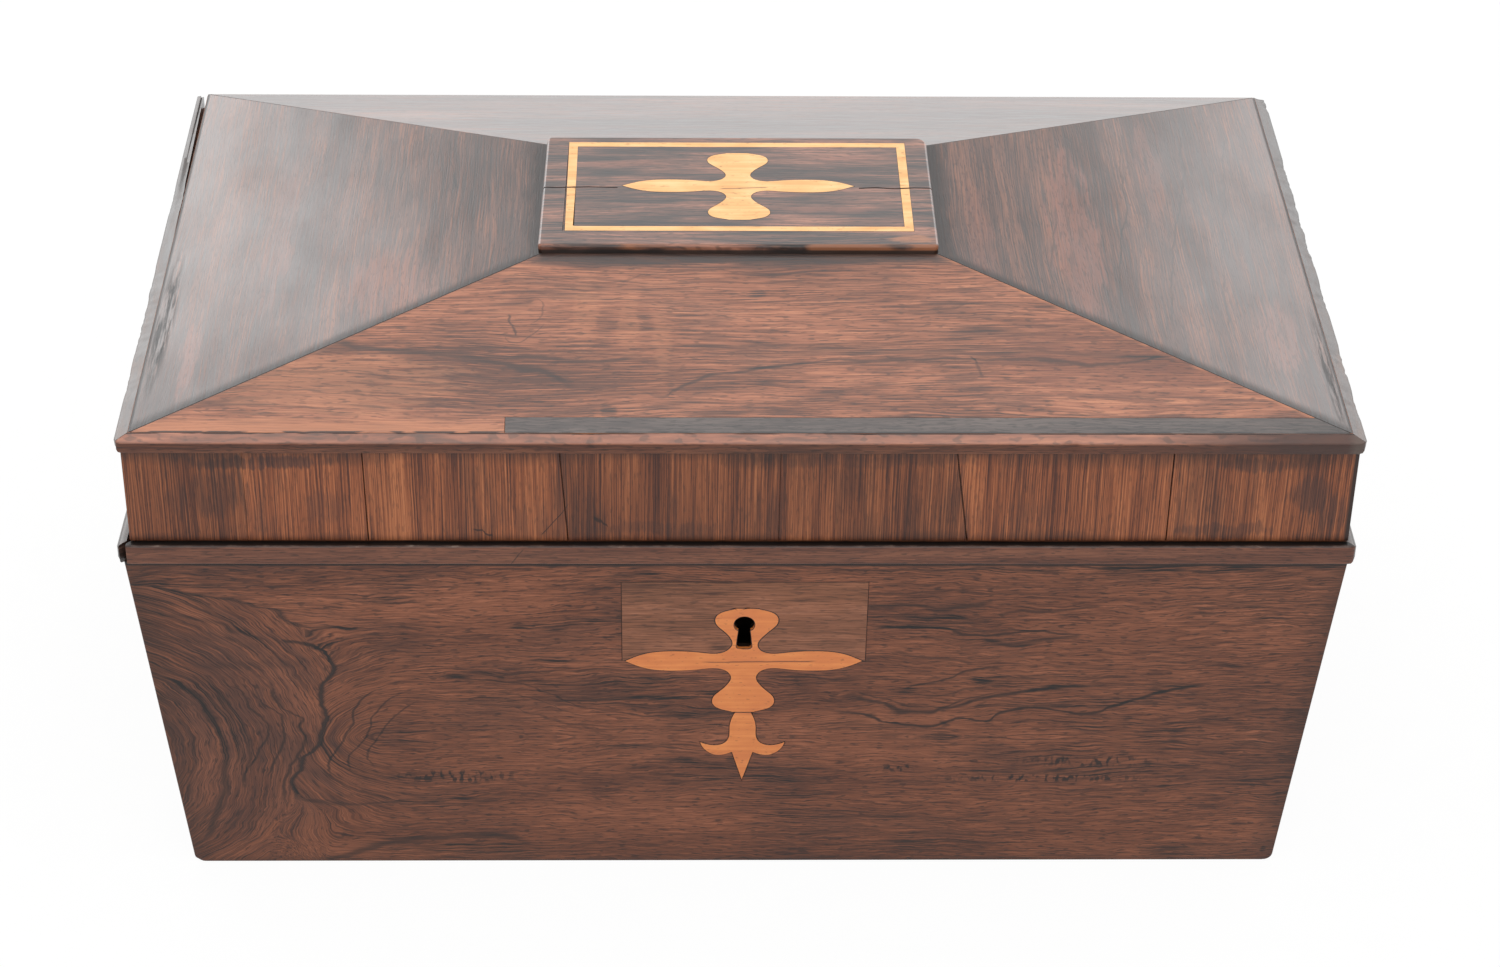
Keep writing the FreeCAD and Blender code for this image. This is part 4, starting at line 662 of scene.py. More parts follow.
def side_dirt_and_shade(tree, grain):
    """Mask of what dulls a side slope: painted shade at its hip and outer edge, bruises, and wax by the
    tablet.
    """
    axes = add(tree, "SeparateXYZ", (grain,))
    side = add(tree, "Math ABSOLUTE", (axes.outputs[1],))
    inset = add(tree, "Math SUBTRACT", (side, hip_line(tree, axes.outputs[0])))
    # Painted shade along the hip.
    dirt = add(tree, "MapRange", {"Value": inset, "From Min": 0.8, "From Max": 9.0, "To Min": 0.9,
                                  "To Max": 0.0}, interpolation_type="SMOOTHSTEP")
    bruise = cloud(tree, grain, (12, 0.8, 2), 61, 4.0, 0.65)
    bruise = add(tree, "MapRange", {"Value": bruise, "From Min": 0.42, "From Max": 0.54})
    ragged = cloud(tree, grain, (7, 2, 3), 62, 3.0)
    for middle, radii, depth in EDGE_BRUISES:
        mask = add(tree, "Math MULTIPLY", (bruise, blot(tree, grain, middle, radii)))
        mask = add(tree, "Math MULTIPLY", (mask, depth))
        dirt = add(tree, "Math MAXIMUM", (dirt, mask))
    # Painted shade in the gap by the moulding, as a black line at the outer edge.
    edge = add(tree, "MapRange", {"Value": side, "From Min": EAVE_SIDE - 0.9, "From Max": EAVE_SIDE - 0.5,
                                  "To Max": 0.9})
    dirt = add(tree, "Math MAXIMUM", (dirt, edge))
    foot = add(tree, "Math MULTIPLY_ADD", (ragged, 6.0, side))
    foot = add(tree, "MapRange", {"Value": foot, "From Min": ROOF_HEAD_SIDE + 9.0,
                                  "From Max": ROOF_HEAD_SIDE + 5.0, "To Max": 0.85})
    return add(tree, "Math MAXIMUM", (dirt, foot))


def roof_side_marks_and_shade(tree, grain, colour):
    """Painted shade at the hips and outer edges, bruises and wax turn the edges of the side slopes nearly
    black.
    """
    return add(tree, "Mix", {0: side_dirt_and_shade(tree, grain), 6: colour, 7: linear(VENEER_INK)}, data_type="RGBA")


DULL_PATCHES = (((-74, -142), (34, 40), -0.28), ((10, 92), (70, 30), -0.14), ((48, -118), (36, 26), -0.08))


def side_polish(tree, grain):
    """Cloths reach the outer edges, which shine; by the tablet and under dirt and painted shade the polish is
    dull.
    """
    axes = add(tree, "SeparateXYZ", (grain,))
    side = add(tree, "Math ABSOLUTE", (axes.outputs[1],))
    patches = cloud(tree, grain, (38, 20, 20), 77, 3.0, 0.6)
    reach = add(tree, "Math MULTIPLY_ADD", (patches, 120.0, side))
    shine = add(tree, "MapRange", {"Value": reach, "From Min": 110.0, "From Max": 215.0, "To Min": 0.2,
                                   "To Max": 0.9})
    for middle, radii, change in DULL_PATCHES:
        shine = add(tree, "Math MULTIPLY_ADD", (blot(tree, grain, middle, radii), change, shine))
    left = add(tree, "MapRange", {"Value": axes.outputs[1], "From Min": 60.0, "From Max": -60.0,
                                  "To Min": 0.92, "To Max": 1.0})
    shine = add(tree, "Math MULTIPLY", (shine, left))
    clean = add(tree, "Math SUBTRACT", (1.0, side_dirt_and_shade(tree, grain)))
    return add(tree, "Math MULTIPLY", (shine, clean), use_clamp=True)


# %% Woods of the slopes
ROOF_TONES = ("#512b1a", "#7d4930", "#9a5f44", "#b37554")
ROOF_SIDE_TONES = ("#291914", "#3e2720", "#56382d", "#79503e")
PINK = "#8f5745"
ROOF_SIDE_BLOTS = (
    ((12, -75), (30, 27), 0.35), ((-57, -138), (26, 3.5), 0.35, PINK), ((-32, -90), (24, 18), 0.3, PINK),
    ((0, -120), (60, 5), 0.2, PINK), ((-10, 88), (66, 10), 0.4, PINK), ((0, 75), (60, 3), 0.4),
    ((0, 100), (60, 2.5), 0.35), ((-45, 137), (26, 8), 0.3, PINK), ((30, 112), (46, 5), 0.2, PINK),
    ((-20, 62), (44, 5), 0.25, PINK), ((9, -123), (3, 5), 0.4), ((-28, -115.5), (2.4, 5), 0.5))
SIDE_CRACKS = (
    ("level", 0.6, 0.8, ((68, 125.1), (35, 121.7), (-4, 114.5), (-55, 108.3))),
    ("level", 0.6, 0.7, ((67, 136.4), (39, 133.9), (0, 128.1), (-52, 123.1))),
    ("level", 0.6, 0.8, ((51, 105.2), (19, 103.7), (-34, 97), (-47, 96.4))),
    ("level", 0.6, 0.7, ((-38, 134.4), (-68, 130.6))),
    ("level", 0.7, 0.6, ((7, 84.1), (-27, 79.9))), ("level", 0.6, 0.7, ((57, -100.7), (27, -99.9))),
    ("level", 0.6, 0.6, ((49, -89.6), (21, -88.8))), ("level", 0.6, 0.6, ((41, -77.3), (9, -74.5))),
)
roof_front_wood = rosewood(
    "rosewood_veneer_front_slope", "x", "y", ROOF_TONES, 5.0, bands=18.0, fibre=(16, 0.4), veins=0.45,
    flecks=0.5, ripple=1.0, contrast=(0.85, 0.8), dusk=0.35, drawn=ROOF_VEINS, blots=ROOF_BLOTS,
    layers=roof_front_marks_and_shade, coat=0.22)
roof_side_wood = rosewood(
    "rosewood_veneer_side_slopes", "y", "x", ROOF_SIDE_TONES, 11.0, bend=2.5, ripple=0.6, bands=8.0,
    fibre=(18, 0.4), veins=0.2, flecks=0.4, contrast=(0.6, 0.75), dusk=0.2, drawn=SIDE_CRACKS,
    blots=ROOF_SIDE_BLOTS, layers=roof_side_marks_and_shade, polish=side_polish)
roof_back_wood = rosewood("rosewood_veneer_back_slope", "x", "y", ROOF_SIDE_TONES, 23.0, veins=0.3, coat=0.9)
REPAIR_TONES = ("#2b2523", "#413835", "#504541", "#635650")
repair_wood = rosewood(
    "stained_veneer_repair_strip", "x", "y", REPAIR_TONES, 37.0, bend=1.5, veins=0.2, dusk=0.2,
    layers=eave_gap_shade, coat=0.4)
print("lid slopes:", len(SIDE_CRACKS), "drawn cracks on the sides")

# %% [markdown]
# ## Veneer on the frieze, mouldings and tablet
#
# The frieze is cross-banded: its grain stands upright, so the recipe is turned by naming other axes.
# The front moulding is painted lighter on top and darker on its face, as painted light and shade, wax and
# painted shade fill the joints, and the tablet shows broad stripes. One recipe with other values is enough
# for all of them, with a short function for their wear and painted shade.

# %% Frieze veneer
FRIEZE_TOP, FRIEZE_FOOT, FRIEZE_END = 136.5, 110.0, 150.2


def leaf_tones_and_shade(tree, grain, colour):
    """Each leaf of the frieze has its own lightness; painted shade darkens its top and its foot."""
    leaf = add(tree, "Attribute", attribute_name="leaf_tone")
    colour = add(tree, "VectorMath SCALE", {0: colour, "Scale": leaf.outputs["Fac"]})
    axes = add(tree, "SeparateXYZ", (grain,))
    up = axes.outputs[0]
    cloudy = cloud(tree, grain, (14, 30, 30), 67, 2.0)
    wave = add(tree, "Math MULTIPLY_ADD", (cloudy, 9.0, -4.5))
    level = add(tree, "Math ADD", (up, wave))
    # Painted shade: at the top under the moulding and at the foot above the rim.
    top = add(tree, "MapRange", {"Value": level, "From Min": FRIEZE_TOP - 4.0, "From Max": FRIEZE_TOP,
                                 "To Max": 0.6})
    foot = add(tree, "MapRange", {"Value": level, "From Min": FRIEZE_FOOT + 2.5, "From Max": FRIEZE_FOOT,
                                  "To Max": 0.5})
    dark = add(tree, "Math MAXIMUM", (top, foot))
    end = add(tree, "MapRange", {"Value": axes.outputs[1], "From Min": FRIEZE_END - 0.8,
                                 "From Max": FRIEZE_END, "To Max": 0.95})
    dark = add(tree, "Math MAXIMUM", (dark, end))
    return add(tree, "Mix", {0: dark, 6: colour, 7: linear("#1f110d")}, data_type="RGBA")


PURPLE = "#38221f"
FRIEZE_BLOTS = (
    ((133.8, -117), (3, 27), 0.7, PURPLE), ((125, -128), (11, 11), 0.45, PURPLE),
    ((122, -138), (8, 5), 0.35, PURPLE), ((120, -103), (8, 6), 0.3, PURPLE),
    ((133.5, 126), (3.4, 15), 0.6, PURPLE), ((113.5, 120), (3.2, 18), 0.5, PURPLE),
    ((124, 140), (9, 7), 0.55, PURPLE), ((118, 147), (9, 6), 0.5, PURPLE),
    ((114, -20), (3, 26), 0.3, PURPLE), ((134, 30), (2.8, 40), 0.3, PURPLE))
FRIEZE_SCRATCHES = (
    ("upright", 0.6, 0.9, ((112.5, -49), (116.2, -46), (121.5, -42.5))),
    ("upright", 1.1, 0.9, ((115, -32.4), (116.6, -34), (118, -36))),
    ("upright", 0.8, 0.9, ((112, -61), (112.8, -63.5), (113.6, -66.5))),
)
FRIEZE_TONES = ("#451f12", "#6f3a20", "#8d4f2d", "#ad6a42")
frieze_wood = rosewood(
    "rosewood_crossbanding_upright_grain", "z", "x", FRIEZE_TONES, 7.0, bend=0.6, ripple=0.4, bands=9.0,
    fibre=(40, 0.36), veins=0.1, flecks=0.3, contrast=(0.6, 0.8), dusk=0.35, drawn=FRIEZE_SCRATCHES,
    blots=FRIEZE_BLOTS, layers=leaf_tones_and_shade, coat=0.0, specular=0.4)
frieze_side_wood = rosewood(
    "rosewood_crossbanding_sides", "z", "y", FRIEZE_TONES, 19.0, bend=0.6, ripple=0.3, bands=9.0,
    fibre=(40, 0.42), veins=0.1, flecks=0.25, contrast=(0.6, 0.75), dusk=0.35, coat=0.0, specular=0.4)
frieze_back_wood = rosewood("rosewood_lid_back", "x", "z", BASE_TONES, 71.0, bend=3.0, coat=0.1)
print("frieze:", len(FRIEZE_BLOTS), "stains and", len(FRIEZE_SCRATCHES), "scratches")

# %% Woods of the mouldings
MOULDING_TONES = ("#47281c", "#613726", "#704330", "#86543c")
MOULDING_ARRIS, MOULDING_BED, MOULDING_END = 139.6, 85.6, 149.6
RIM_LEDGE, RIM_BACK = 109.8, 88.7


def lid_moulding_marks_and_light(tree, grain, colour):
    """Painted light on the top, painted shade on the face, a dark right end, and wax and shade in the upper
    joint.
    """
    axes = add(tree, "SeparateXYZ", (grain,))
    z, forward = axes.outputs[1], axes.outputs[2]
    # Painted light and shade: the top face is lighter and the face below the arris is darker.
    above = add(tree, "MapRange", {"Value": z, "From Min": MOULDING_ARRIS, "From Max": MOULDING_ARRIS + 0.5,
                                   "To Min": 0.68, "To Max": 1.85})
    colour = add(tree, "VectorMath SCALE", {0: colour, "Scale": above})
    # Painted sheen: the top face is mixed towards pale grey.
    bloom = add(tree, "MapRange", {"Value": z, "From Min": MOULDING_ARRIS + 0.1,
                                   "From Max": MOULDING_ARRIS + 0.6, "To Max": 0.13})
    colour = add(tree, "Mix", {0: bloom, 6: colour, 7: linear("#d9c4ba")}, data_type="RGBA")
    patchy = cloud(tree, grain, (20, 3, 3), 87, 3.0)
    right = add(tree, "Math MULTIPLY_ADD", (patchy, 60.0, axes.outputs[0]))
    right = add(tree, "MapRange", {"Value": right, "From Min": 122.0, "From Max": 162.0, "To Max": 0.88})
    colour = add(tree, "Mix", {0: right, 6: colour, 7: linear("#3b2a26")}, data_type="RGBA")
    end = add(tree, "MapRange", {"Value": axes.outputs[0], "From Min": MOULDING_END - 2.0,
                                 "From Max": MOULDING_END, "To Max": 0.3})
    colour = add(tree, "Mix", {0: end, 6: colour, 7: linear("#6a635b")}, data_type="RGBA")
    # Painted shade with wax in the joint by the slope.
    gap = cloud(tree, grain, (9, 3, 3), 57, 2.0)
    gap = add(tree, "MapRange", {"Value": gap, "From Min": 0.40, "From Max": 0.48})
    bed = add(tree, "MapRange", {"Value": forward, "From Min": MOULDING_BED, "From Max": MOULDING_BED - 0.2,
                                 "To Max": 0.95})
    gap = add(tree, "Math MULTIPLY", (gap, bed))
    return add(tree, "Mix", {0: gap, 6: colour, 7: linear(VENEER_INK)}, data_type="RGBA")


def rim_dust_and_shade(tree, grain, colour):
    """Dust and wax lie on the ledge of the rim, with painted shade nearly black in the corner under the lid.
    """
    axes = add(tree, "SeparateXYZ", (grain,))
    z, forward = axes.outputs[1], axes.outputs[2]
    top = add(tree, "MapRange", {"Value": z, "From Min": RIM_LEDGE - 0.25, "From Max": RIM_LEDGE})
    dust = cloud(tree, grain, (4, 1.5, 3), 91, 3.0)
    dust = add(tree, "ValToRGB", (dust,), stops=((0.45, "#2a1a14"), (0.62, "#4d3930"), (0.74, "#8f8075")))
    # Painted shade with wax: the back of the ledge, under the lid, turns nearly black.
    back = add(tree, "MapRange", {"Value": forward, "From Min": RIM_BACK, "From Max": RIM_BACK - 0.4})
    dust = add(tree, "Mix", {0: back, 6: dust, 7: linear("#0d0908")}, data_type="RGBA")
    return add(tree, "Mix", {0: top, 6: colour, 7: dust}, data_type="RGBA")


moulding_wood = rosewood(
    "rosewood_lid_moulding_rubbed", "x", "z", MOULDING_TONES, 43.0, bend=1.0, ripple=0.5, bands=5.0,
    veins=0.3, flecks=0.5, layers=lid_moulding_marks_and_light, coat=0.0, specular=0.3)
# The side lengths take a darker copy of the moulding wood: partly wax, partly painted shade.
SIDE_MOULDING_TONES = ("#1b1412", "#2b201c", "#3c2c26", "#574238")
moulding_side_wood = rosewood(
    "rosewood_side_moulding_waxed_and_shaded", "y", "z", SIDE_MOULDING_TONES, 47.0, bend=1.0, ripple=0.5,
    bands=5.0, veins=0.3, coat=0.6)
RIM_TONES = ("#3f2319", "#563122", "#643c2b", "#784b36")
rim_wood = rosewood(
    "rosewood_rim_moulding_dusty", "x", "z", RIM_TONES, 45.0, bend=1.0, ripple=0.5, bands=5.0, veins=0.3,
    flecks=0.5, dusk=0.2, drawn=(("upright", 0.5, 0.7, ((-57, 104.5), (-55.4, 107), (-53.5, 109.5))),),
    layers=rim_dust_and_shade, coat=0.0, specular=0.4)

# %% Woods of the tablet and the inside
TABLET_FRONT, TABLET_FACE = -27.2, 159.2


def tablet_marks_and_shade(tree, grain, colour):
    """The foot of the tablet is painted black for wax and shade; its front arris is rubbed to orange towards
    the right.
    """
    axes = add(tree, "SeparateXYZ", (grain,))
    x, y, z = axes.outputs
    front = add(tree, "MapRange", {"Value": y, "From Min": TABLET_FRONT, "From Max": TABLET_FRONT - 0.6,
                                   "To Max": 0.8})
    patches = cloud(tree, grain, (12, 3, 3), 63, 2.0)
    patches = add(tree, "Math MULTIPLY_ADD", (x, 0.004, patches))
    patches = add(tree, "MapRange", {"Value": patches, "From Min": 0.46, "From Max": 0.6})
    rubbed = add(tree, "Math MULTIPLY", (front, patches))
    colour = add(tree, "Mix", {0: rubbed, 6: colour, 7: linear("#8f5a3b")}, data_type="RGBA")
    # Painted shade with wax: the lower part of the tablet's front face is nearly black.
    low = add(tree, "MapRange", {"Value": z, "From Min": TABLET_FACE, "From Max": TABLET_FACE - 0.4,
                                 "To Max": 0.92})
    return add(tree, "Mix", {0: low, 6: colour, 7: linear("#120b08")}, data_type="RGBA")


def tablet_polish(tree, grain):
    """The top of the tablet was polished often; its front edge was only handled."""
    axes = add(tree, "SeparateXYZ", (grain,))
    return add(tree, "MapRange", {"Value": axes.outputs[1], "From Min": TABLET_FRONT - 0.6,
                                  "From Max": TABLET_FRONT})


TABLET_TONES = ("#1a1312", "#3f2b24", "#70493a", "#a06b54")
TABLET_BLOTS = (
    ((44, -25.5), (9, 3), 0.7, "#a5683f"), ((-30, -17.2), (24, 2.4), 1.3), ((8, -25.6), (16, 2.2), 0.9),
    ((40, 14), (16, 6), 0.5), ((-30, 14), (16, 2.4), 0.5, "#875442"),
    ((22, -10), (18, 1.8), 0.5, "#875442"), ((30, 17), (12, 1.6), 0.5, "#875442"))
tablet_wood = rosewood(
    "rosewood_tablet_striped", "x", "y", TABLET_TONES, 59.0, bend=3.0, ripple=1.6, bands=6.0, length=42.0,
    fibre=(18, 0.45), veins=0.2, contrast=(0.85, 0.55), blots=TABLET_BLOTS, layers=tablet_marks_and_shade,
    polish=tablet_polish)
INSIDE_TONES = ("#2e1a13", "#492a1e", "#5f3a29", "#754a36")
inside_wood = rosewood(
    "rosewood_inside_satin", "y", "x", INSIDE_TONES, 73.0, veins=0.5, coat=0.3, roughness=0.45)
print("mouldings, tablet and inside panels have their own cuts of rosewood")

# %% [markdown]
# ## Boxwood, mahogany, metal and glass
#
# Boxwood is pale, very fine grained and yellows with age, so it was used for inlay. Mahogany is the
# plain wood of the carcase. The tea wells are lined with lead foil, the lock and hinges are cast and
# filed brass, and the mixing bowl is blown and cut glass. Each recipe is short, because these
# surfaces are small or mostly inside.

# %% Boxwood inlay
def boxwood(name, along, across, tones, crack, seed):
    """Aged boxwood, close grained and waxed: warm yellow with faint streaks, freckles and one fine crack."""
    made, tree = new_material(name)
    grain = grain_space(tree, along, across)
    streak = cloud(tree, grain, (30, 1.2, 5), seed, 3.0)
    mottle = cloud(tree, grain, (9, 5, 5), seed + 3, 2.0)
    tone = add(tree, "Math ADD", (streak, mottle))
    tone = add(tree, "Math MULTIPLY", (tone, 0.5))
    colour = add(tree, "ValToRGB", (tone,), stops=list(zip((0.34, 0.5, 0.64), tones)))
    freckle = cloud(tree, grain, (1.6, 0.6, 1), seed + 5, 1.0)
    freckle = add(tree, "MapRange", {"Value": freckle, "From Min": 0.66, "From Max": 0.74, "To Max": 0.4})
    quick = add(tree, "Math MULTIPLY_ADD", (mottle, 1.2, -0.6))
    shift = add(tree, "CombineXYZ", {1: quick})
    axes = add(tree, "SeparateXYZ", (add(tree, "VectorMath ADD", (grain, shift)),))
    line = drawn_vein(tree, axes, "level", 0.45, crack)
    dark = add(tree, "Math MULTIPLY_ADD", (line, 0.85, freckle), use_clamp=True)
    colour = add(tree, "Mix", {0: dark, 6: colour, 7: linear("#5a2f1a")}, data_type="RGBA")
    bump = add(tree, "Bump", {"Height": streak, "Strength": 0.15, "Distance": 0.05 * MM})
    shader = add(tree, "BsdfPrincipled", {"Base Color": colour, "Roughness": 0.42, "Normal": bump,
                                          "Coat Weight": 0.1, "Coat Roughness": 0.25})
    add(tree, "OutputMaterial", {"Surface": shader})
    return made


# The front inlay is a darker, more orange copy of the tablet's boxwood: partly painted shade for the weaker
# light on the front.
front_boxwood = boxwood(
    "boxwood_inlay_waxed_front", "x", "z", ("#c06c38", "#ca763b", "#d58344"),
    ((-10, 71), (0, 70.9), (10, 71.1), (20, 71.2)), 83.0)
tablet_boxwood = boxwood(
    "boxwood_inlay_waxed_tablet", "x", "y", ("#dca064", "#eab376", "#f2c38a"),
    ((-5, 0.6), (0, 1.0), (3, 1.3), (8, 1.6)), 89.0)

# %% Glue lines and mahogany
# A thin line of old glue, wax and dirt fills the joint round every inlay and reads as a dark outline.
joint_wax, tree = new_material("dark_wax_in_joints")
grime = cloud(tree, grain_space(tree, "x", "y"), (2, 2, 2), 5, 2.0)
tint = add(tree, "ValToRGB", (grime,), stops=((0.35, "#1a100d"), (0.65, "#3a2219")))
shader = add(tree, "BsdfPrincipled", {"Base Color": tint, "Roughness": 0.6})
add(tree, "OutputMaterial", {"Surface": shader})


def mahogany(name, along, across, seed, grime=None):
    """Planed and oiled mahogany: plain red brown, with short dark pores about 4 mm long."""
    made, tree = new_material(name)
    grain = grain_space(tree, along, across)
    streak = cloud(tree, grain, (70, 2.5, 20), seed, 3.0)
    pore = cloud(tree, grain, (4, 0.5, 4), seed + 2, 1.0)
    colour = add(tree, "ValToRGB", (streak,), stops=((0.32, "#54301f"), (0.5, "#6d3f28"), (0.66, "#84512f")))
    prick = add(tree, "MapRange", {"Value": pore, "From Min": 0.6, "From Max": 0.72, "To Max": 0.6})
    # An optional dark blot, used for the painted shade round the keyhole.
    if grime:
        prick = add(tree, "Math MAXIMUM", (blot(tree, grain, *grime), prick))
    colour = add(tree, "Mix", {0: prick, 6: colour, 7: linear("#150d09")}, data_type="RGBA")
    bump = add(tree, "Bump", {"Height": prick, "Strength": 0.3, "Distance": 0.1 * MM}, invert=True)
    rough = add(tree, "MapRange", {"Value": streak, "To Min": 0.45, "To Max": 0.62})
    shader = add(tree, "BsdfPrincipled", {"Base Color": colour, "Roughness": rough, "Normal": bump,
                                          "Coat Weight": 0.15, "Coat Roughness": 0.35})
    add(tree, "OutputMaterial", {"Surface": shader})
    return made


mahogany_wide = mahogany("mahogany_planed_long_boards", "x", "y", 97.0)
mahogany_deep = mahogany("mahogany_planed_end_boards", "y", "z", 101.0)
# The wood round the keyhole is painted nearly black, as shade seen through the keyhole.
mahogany_keyhole = mahogany("mahogany_darkened_as_keyhole_shade", "x", "z", 97.0, grime=((1.1, 83.5), (16, 18)))


# %% Lead, brass and iron
def metal(name, tones, sizes, roughness, dents):
    """A metal with patches of tarnish, scratches about a millimetre apart and a slightly dented surface."""
    made, tree = new_material(name)
    place = grain_space(tree, "x", "y")
    tarnish = cloud(tree, place, (sizes, sizes, sizes), 3, 4.0)
    scratch = cloud(tree, place, (12, 0.8, 12), 7, 2.0)
    colour = add(tree, "ValToRGB", (tarnish,), stops=list(zip((0.35, 0.5, 0.65), tones)))
    rough = add(tree, "MapRange", {"Value": tarnish, "From Min": 0.3, "From Max": 0.7,
                                   "To Min": roughness + 0.14, "To Max": roughness - 0.06})
    height = add(tree, "Math MULTIPLY_ADD", (scratch, 0.4, tarnish))
    bump = add(tree, "Bump", {"Height": height, "Strength": 0.35, "Distance": dents})
    shader = add(tree, "BsdfPrincipled", {"Base Color": colour, "Metallic": 1.0, "Roughness": rough,
                                          "Normal": bump})
    add(tree, "OutputMaterial", {"Surface": shader})
    return made


# Lead foil, rolled thin and pressed in by hand: dull blue grey with soft creases and pale bloom.
lead = metal("lead_foil_pressed", ("#4c4d4f", "#66676a", "#85868a"), 9.0, 0.5, 0.5 * MM)
# Cast brass, filed and worn: warm yellow where it is rubbed, brown where it has tarnished.
brass = metal("brass_filed_tarnished", ("#6e4f26", "#a37c3d", "#c9a35c"), 5.0, 0.32, 0.08 * MM)
# Brass painted nearly black inside the lock case, as painted shade that keeps the keyhole dark.
keyhole_shade_brass = metal("brass_blackened_as_keyhole_shade", ("#0e0b08", "#17110b", "#241a10"), 4.0, 0.6, 0.08 * MM)
# Drawn iron wire for the pins: dark, with a little rust.
iron = metal("iron_drawn_blackened", ("#2b2320", "#413d3b", "#5c5a59"), 3.0, 0.45, 0.05 * MM)

# %% Glass
# Blown glass, cut and polished: clear, faintly green, with rare seeds and soft waviness.
glass, tree = new_material("blown_glass_cut")
place = grain_space(tree, "x", "y")
wave = cloud(tree, place, (14, 14, 14), 3, 1.0)
bump = add(tree, "Bump", {"Height": wave, "Strength": 0.2, "Distance": 0.3 * MM})
haze = add(tree, "MapRange", {"Value": cloud(tree, place, (5, 5, 5), 9, 3.0), "To Min": 0.01, "To Max": 0.06})
shader = add(tree, "BsdfPrincipled", {"Base Color": linear("#eef4f0"), "Roughness": haze, "Normal": bump,
                                      "IOR": 1.5, "Transmission Weight": 1.0})
add(tree, "OutputMaterial", {"Surface": shader})
print(len(bpy.data.materials), "materials so far")

# %% [markdown]
# ## Easing the edges
#
# No edge on an old box is sharp. A CAD node's mesh arrives as loose triangles, so a copy is merged
# and its flat faces joined again, and then a small Bevel modifier eases every edge before the copy
# takes the node's place. Moving the CAD object itself is never needed, and the copy keeps its place
# in its mesh, so the wood's coordinates stay those of the caddy.

# %% Finished copies of CAD pieces
MATERIAL_OF = {"base_front_veneer": base_front_wood, "base_back_veneer": base_back_wood,
               "base_left_veneer": base_side_wood, "base_right_veneer": base_side_wood,
               "keyhole_patch": patch_wood, "escutcheon_cross": front_boxwood,
               "escutcheon_fleur": front_boxwood, "tablet_cross": tablet_boxwood,
               "roof_front_veneer": roof_front_wood, "roof_back_veneer": roof_back_wood,
               "roof_left_veneer": roof_side_wood, "roof_right_veneer": roof_side_wood,
               "roof_front_strip": repair_wood, "frieze_left_veneer": frieze_side_wood,
               "frieze_right_veneer": frieze_side_wood, "frieze_back_veneer": frieze_back_wood,
               "lid_tablet": tablet_wood}


def piece(name, mesh):
    """A new object at the origin that holds this mesh."""
    made = bpy.data.objects.new(name, mesh)
    scene.collection.objects.link(made)
    return made


def plain_mesh(obj):
    """Put an object's modifiers into its mesh and take them off."""
    graph = bpy.context.evaluated_depsgraph_get()
    obj.data = bpy.data.meshes.new_from_object(obj.evaluated_get(graph))
    obj.modifiers.clear()


def stand_for(obj, *nodes):
    """This piece takes the place of these CAD nodes and moves with their body."""
    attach(obj, body_of[nodes[0]])
    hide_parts(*nodes)


def welded(node):
    """A CAD node's loose triangles, joined at the corners that they share."""
    shape = bmesh.new()
    shape.from_mesh(frame["nodes"][node].data)
    bmesh.ops.remove_doubles(shape, verts=shape.verts, dist=1e-6)
    return shape


def merged(node):
    """A CAD node's triangles as one closed mesh with whole flat faces."""
    shape = welded(node)
    bmesh.ops.dissolve_limit(shape, angle_limit=math.radians(0.5), verts=shape.verts, edges=shape.edges)
    return shape


def mesh_of(shape, name):
    """A new mesh with a bmesh's shape; the bmesh is freed."""
    mesh = bpy.data.meshes.new(name)
    shape.to_mesh(mesh)
    shape.free()
    return mesh


def finish(shape, name, materials, ease, steps=2, angle=30, joint_wide=False, cutter=None):
    """Cut a shape if asked, ease its edges by some millimetres and return it as a piece with even shading."""
    mesh = mesh_of(shape, name)
    mesh.materials.clear()
    for material in materials:
        mesh.materials.append(material)
    mesh.polygons.foreach_set("material_index", [0] * len(mesh.polygons))
    mesh.polygons.foreach_set("use_smooth", [True] * len(mesh.polygons))
    made = piece(name, mesh)
    if cutter:
        split = made.modifiers.new("split", "BOOLEAN")
        split.object, split.material_mode = cutter, "TRANSFER"
    if ease:
        bevel = made.modifiers.new("eased_edges", "BEVEL")
        bevel.width, bevel.segments = ease * MM, steps
        bevel.limit_method, bevel.angle_limit = "ANGLE", math.radians(angle)
        bevel.use_clamp_overlap = False
        bevel.material = len(materials) - 1 if joint_wide else -1
    made.modifiers.new("even_shading", "WEIGHTED_NORMAL").weight = 90
    plain_mesh(made)
    return made


def finished_copy(node, ease, steps=2, joint_wide=False, reshape=None, cutter=None):
    """Copy a CAD node, reshape it if asked, ease its edges and let the copy stand for it."""
    shape = merged(node)
    if reshape:
        reshape(shape)
    materials = [MATERIAL_OF[node], joint_wax] if joint_wide else [MATERIAL_OF[node]]
    made = finish(shape, node + "_finished", materials, ease, steps, joint_wide=joint_wide, cutter=cutter)
    stand_for(made, node)
    return made


# %% [markdown]
# ## Worn veneers and the keyhole
#
# The lower corners of the base are worn round, its left veneer has lifted a little from its board, and
# the key has worn the keyhole wider at its foot. Sculpting would do, but a few lines that move the
# points of the merged copy stay exact, and they run before the edges are eased.

# %% Worn veneers
CORNER_WEAR = 2.2


def round_edges(shape, edges, radius):
    """Round these edges of a shape to a radius in millimetres."""
    bmesh.ops.bevel(shape, geom=edges, offset=radius * MM, segments=5, profile=0.5, affect="EDGES",
                    clamp_overlap=False)


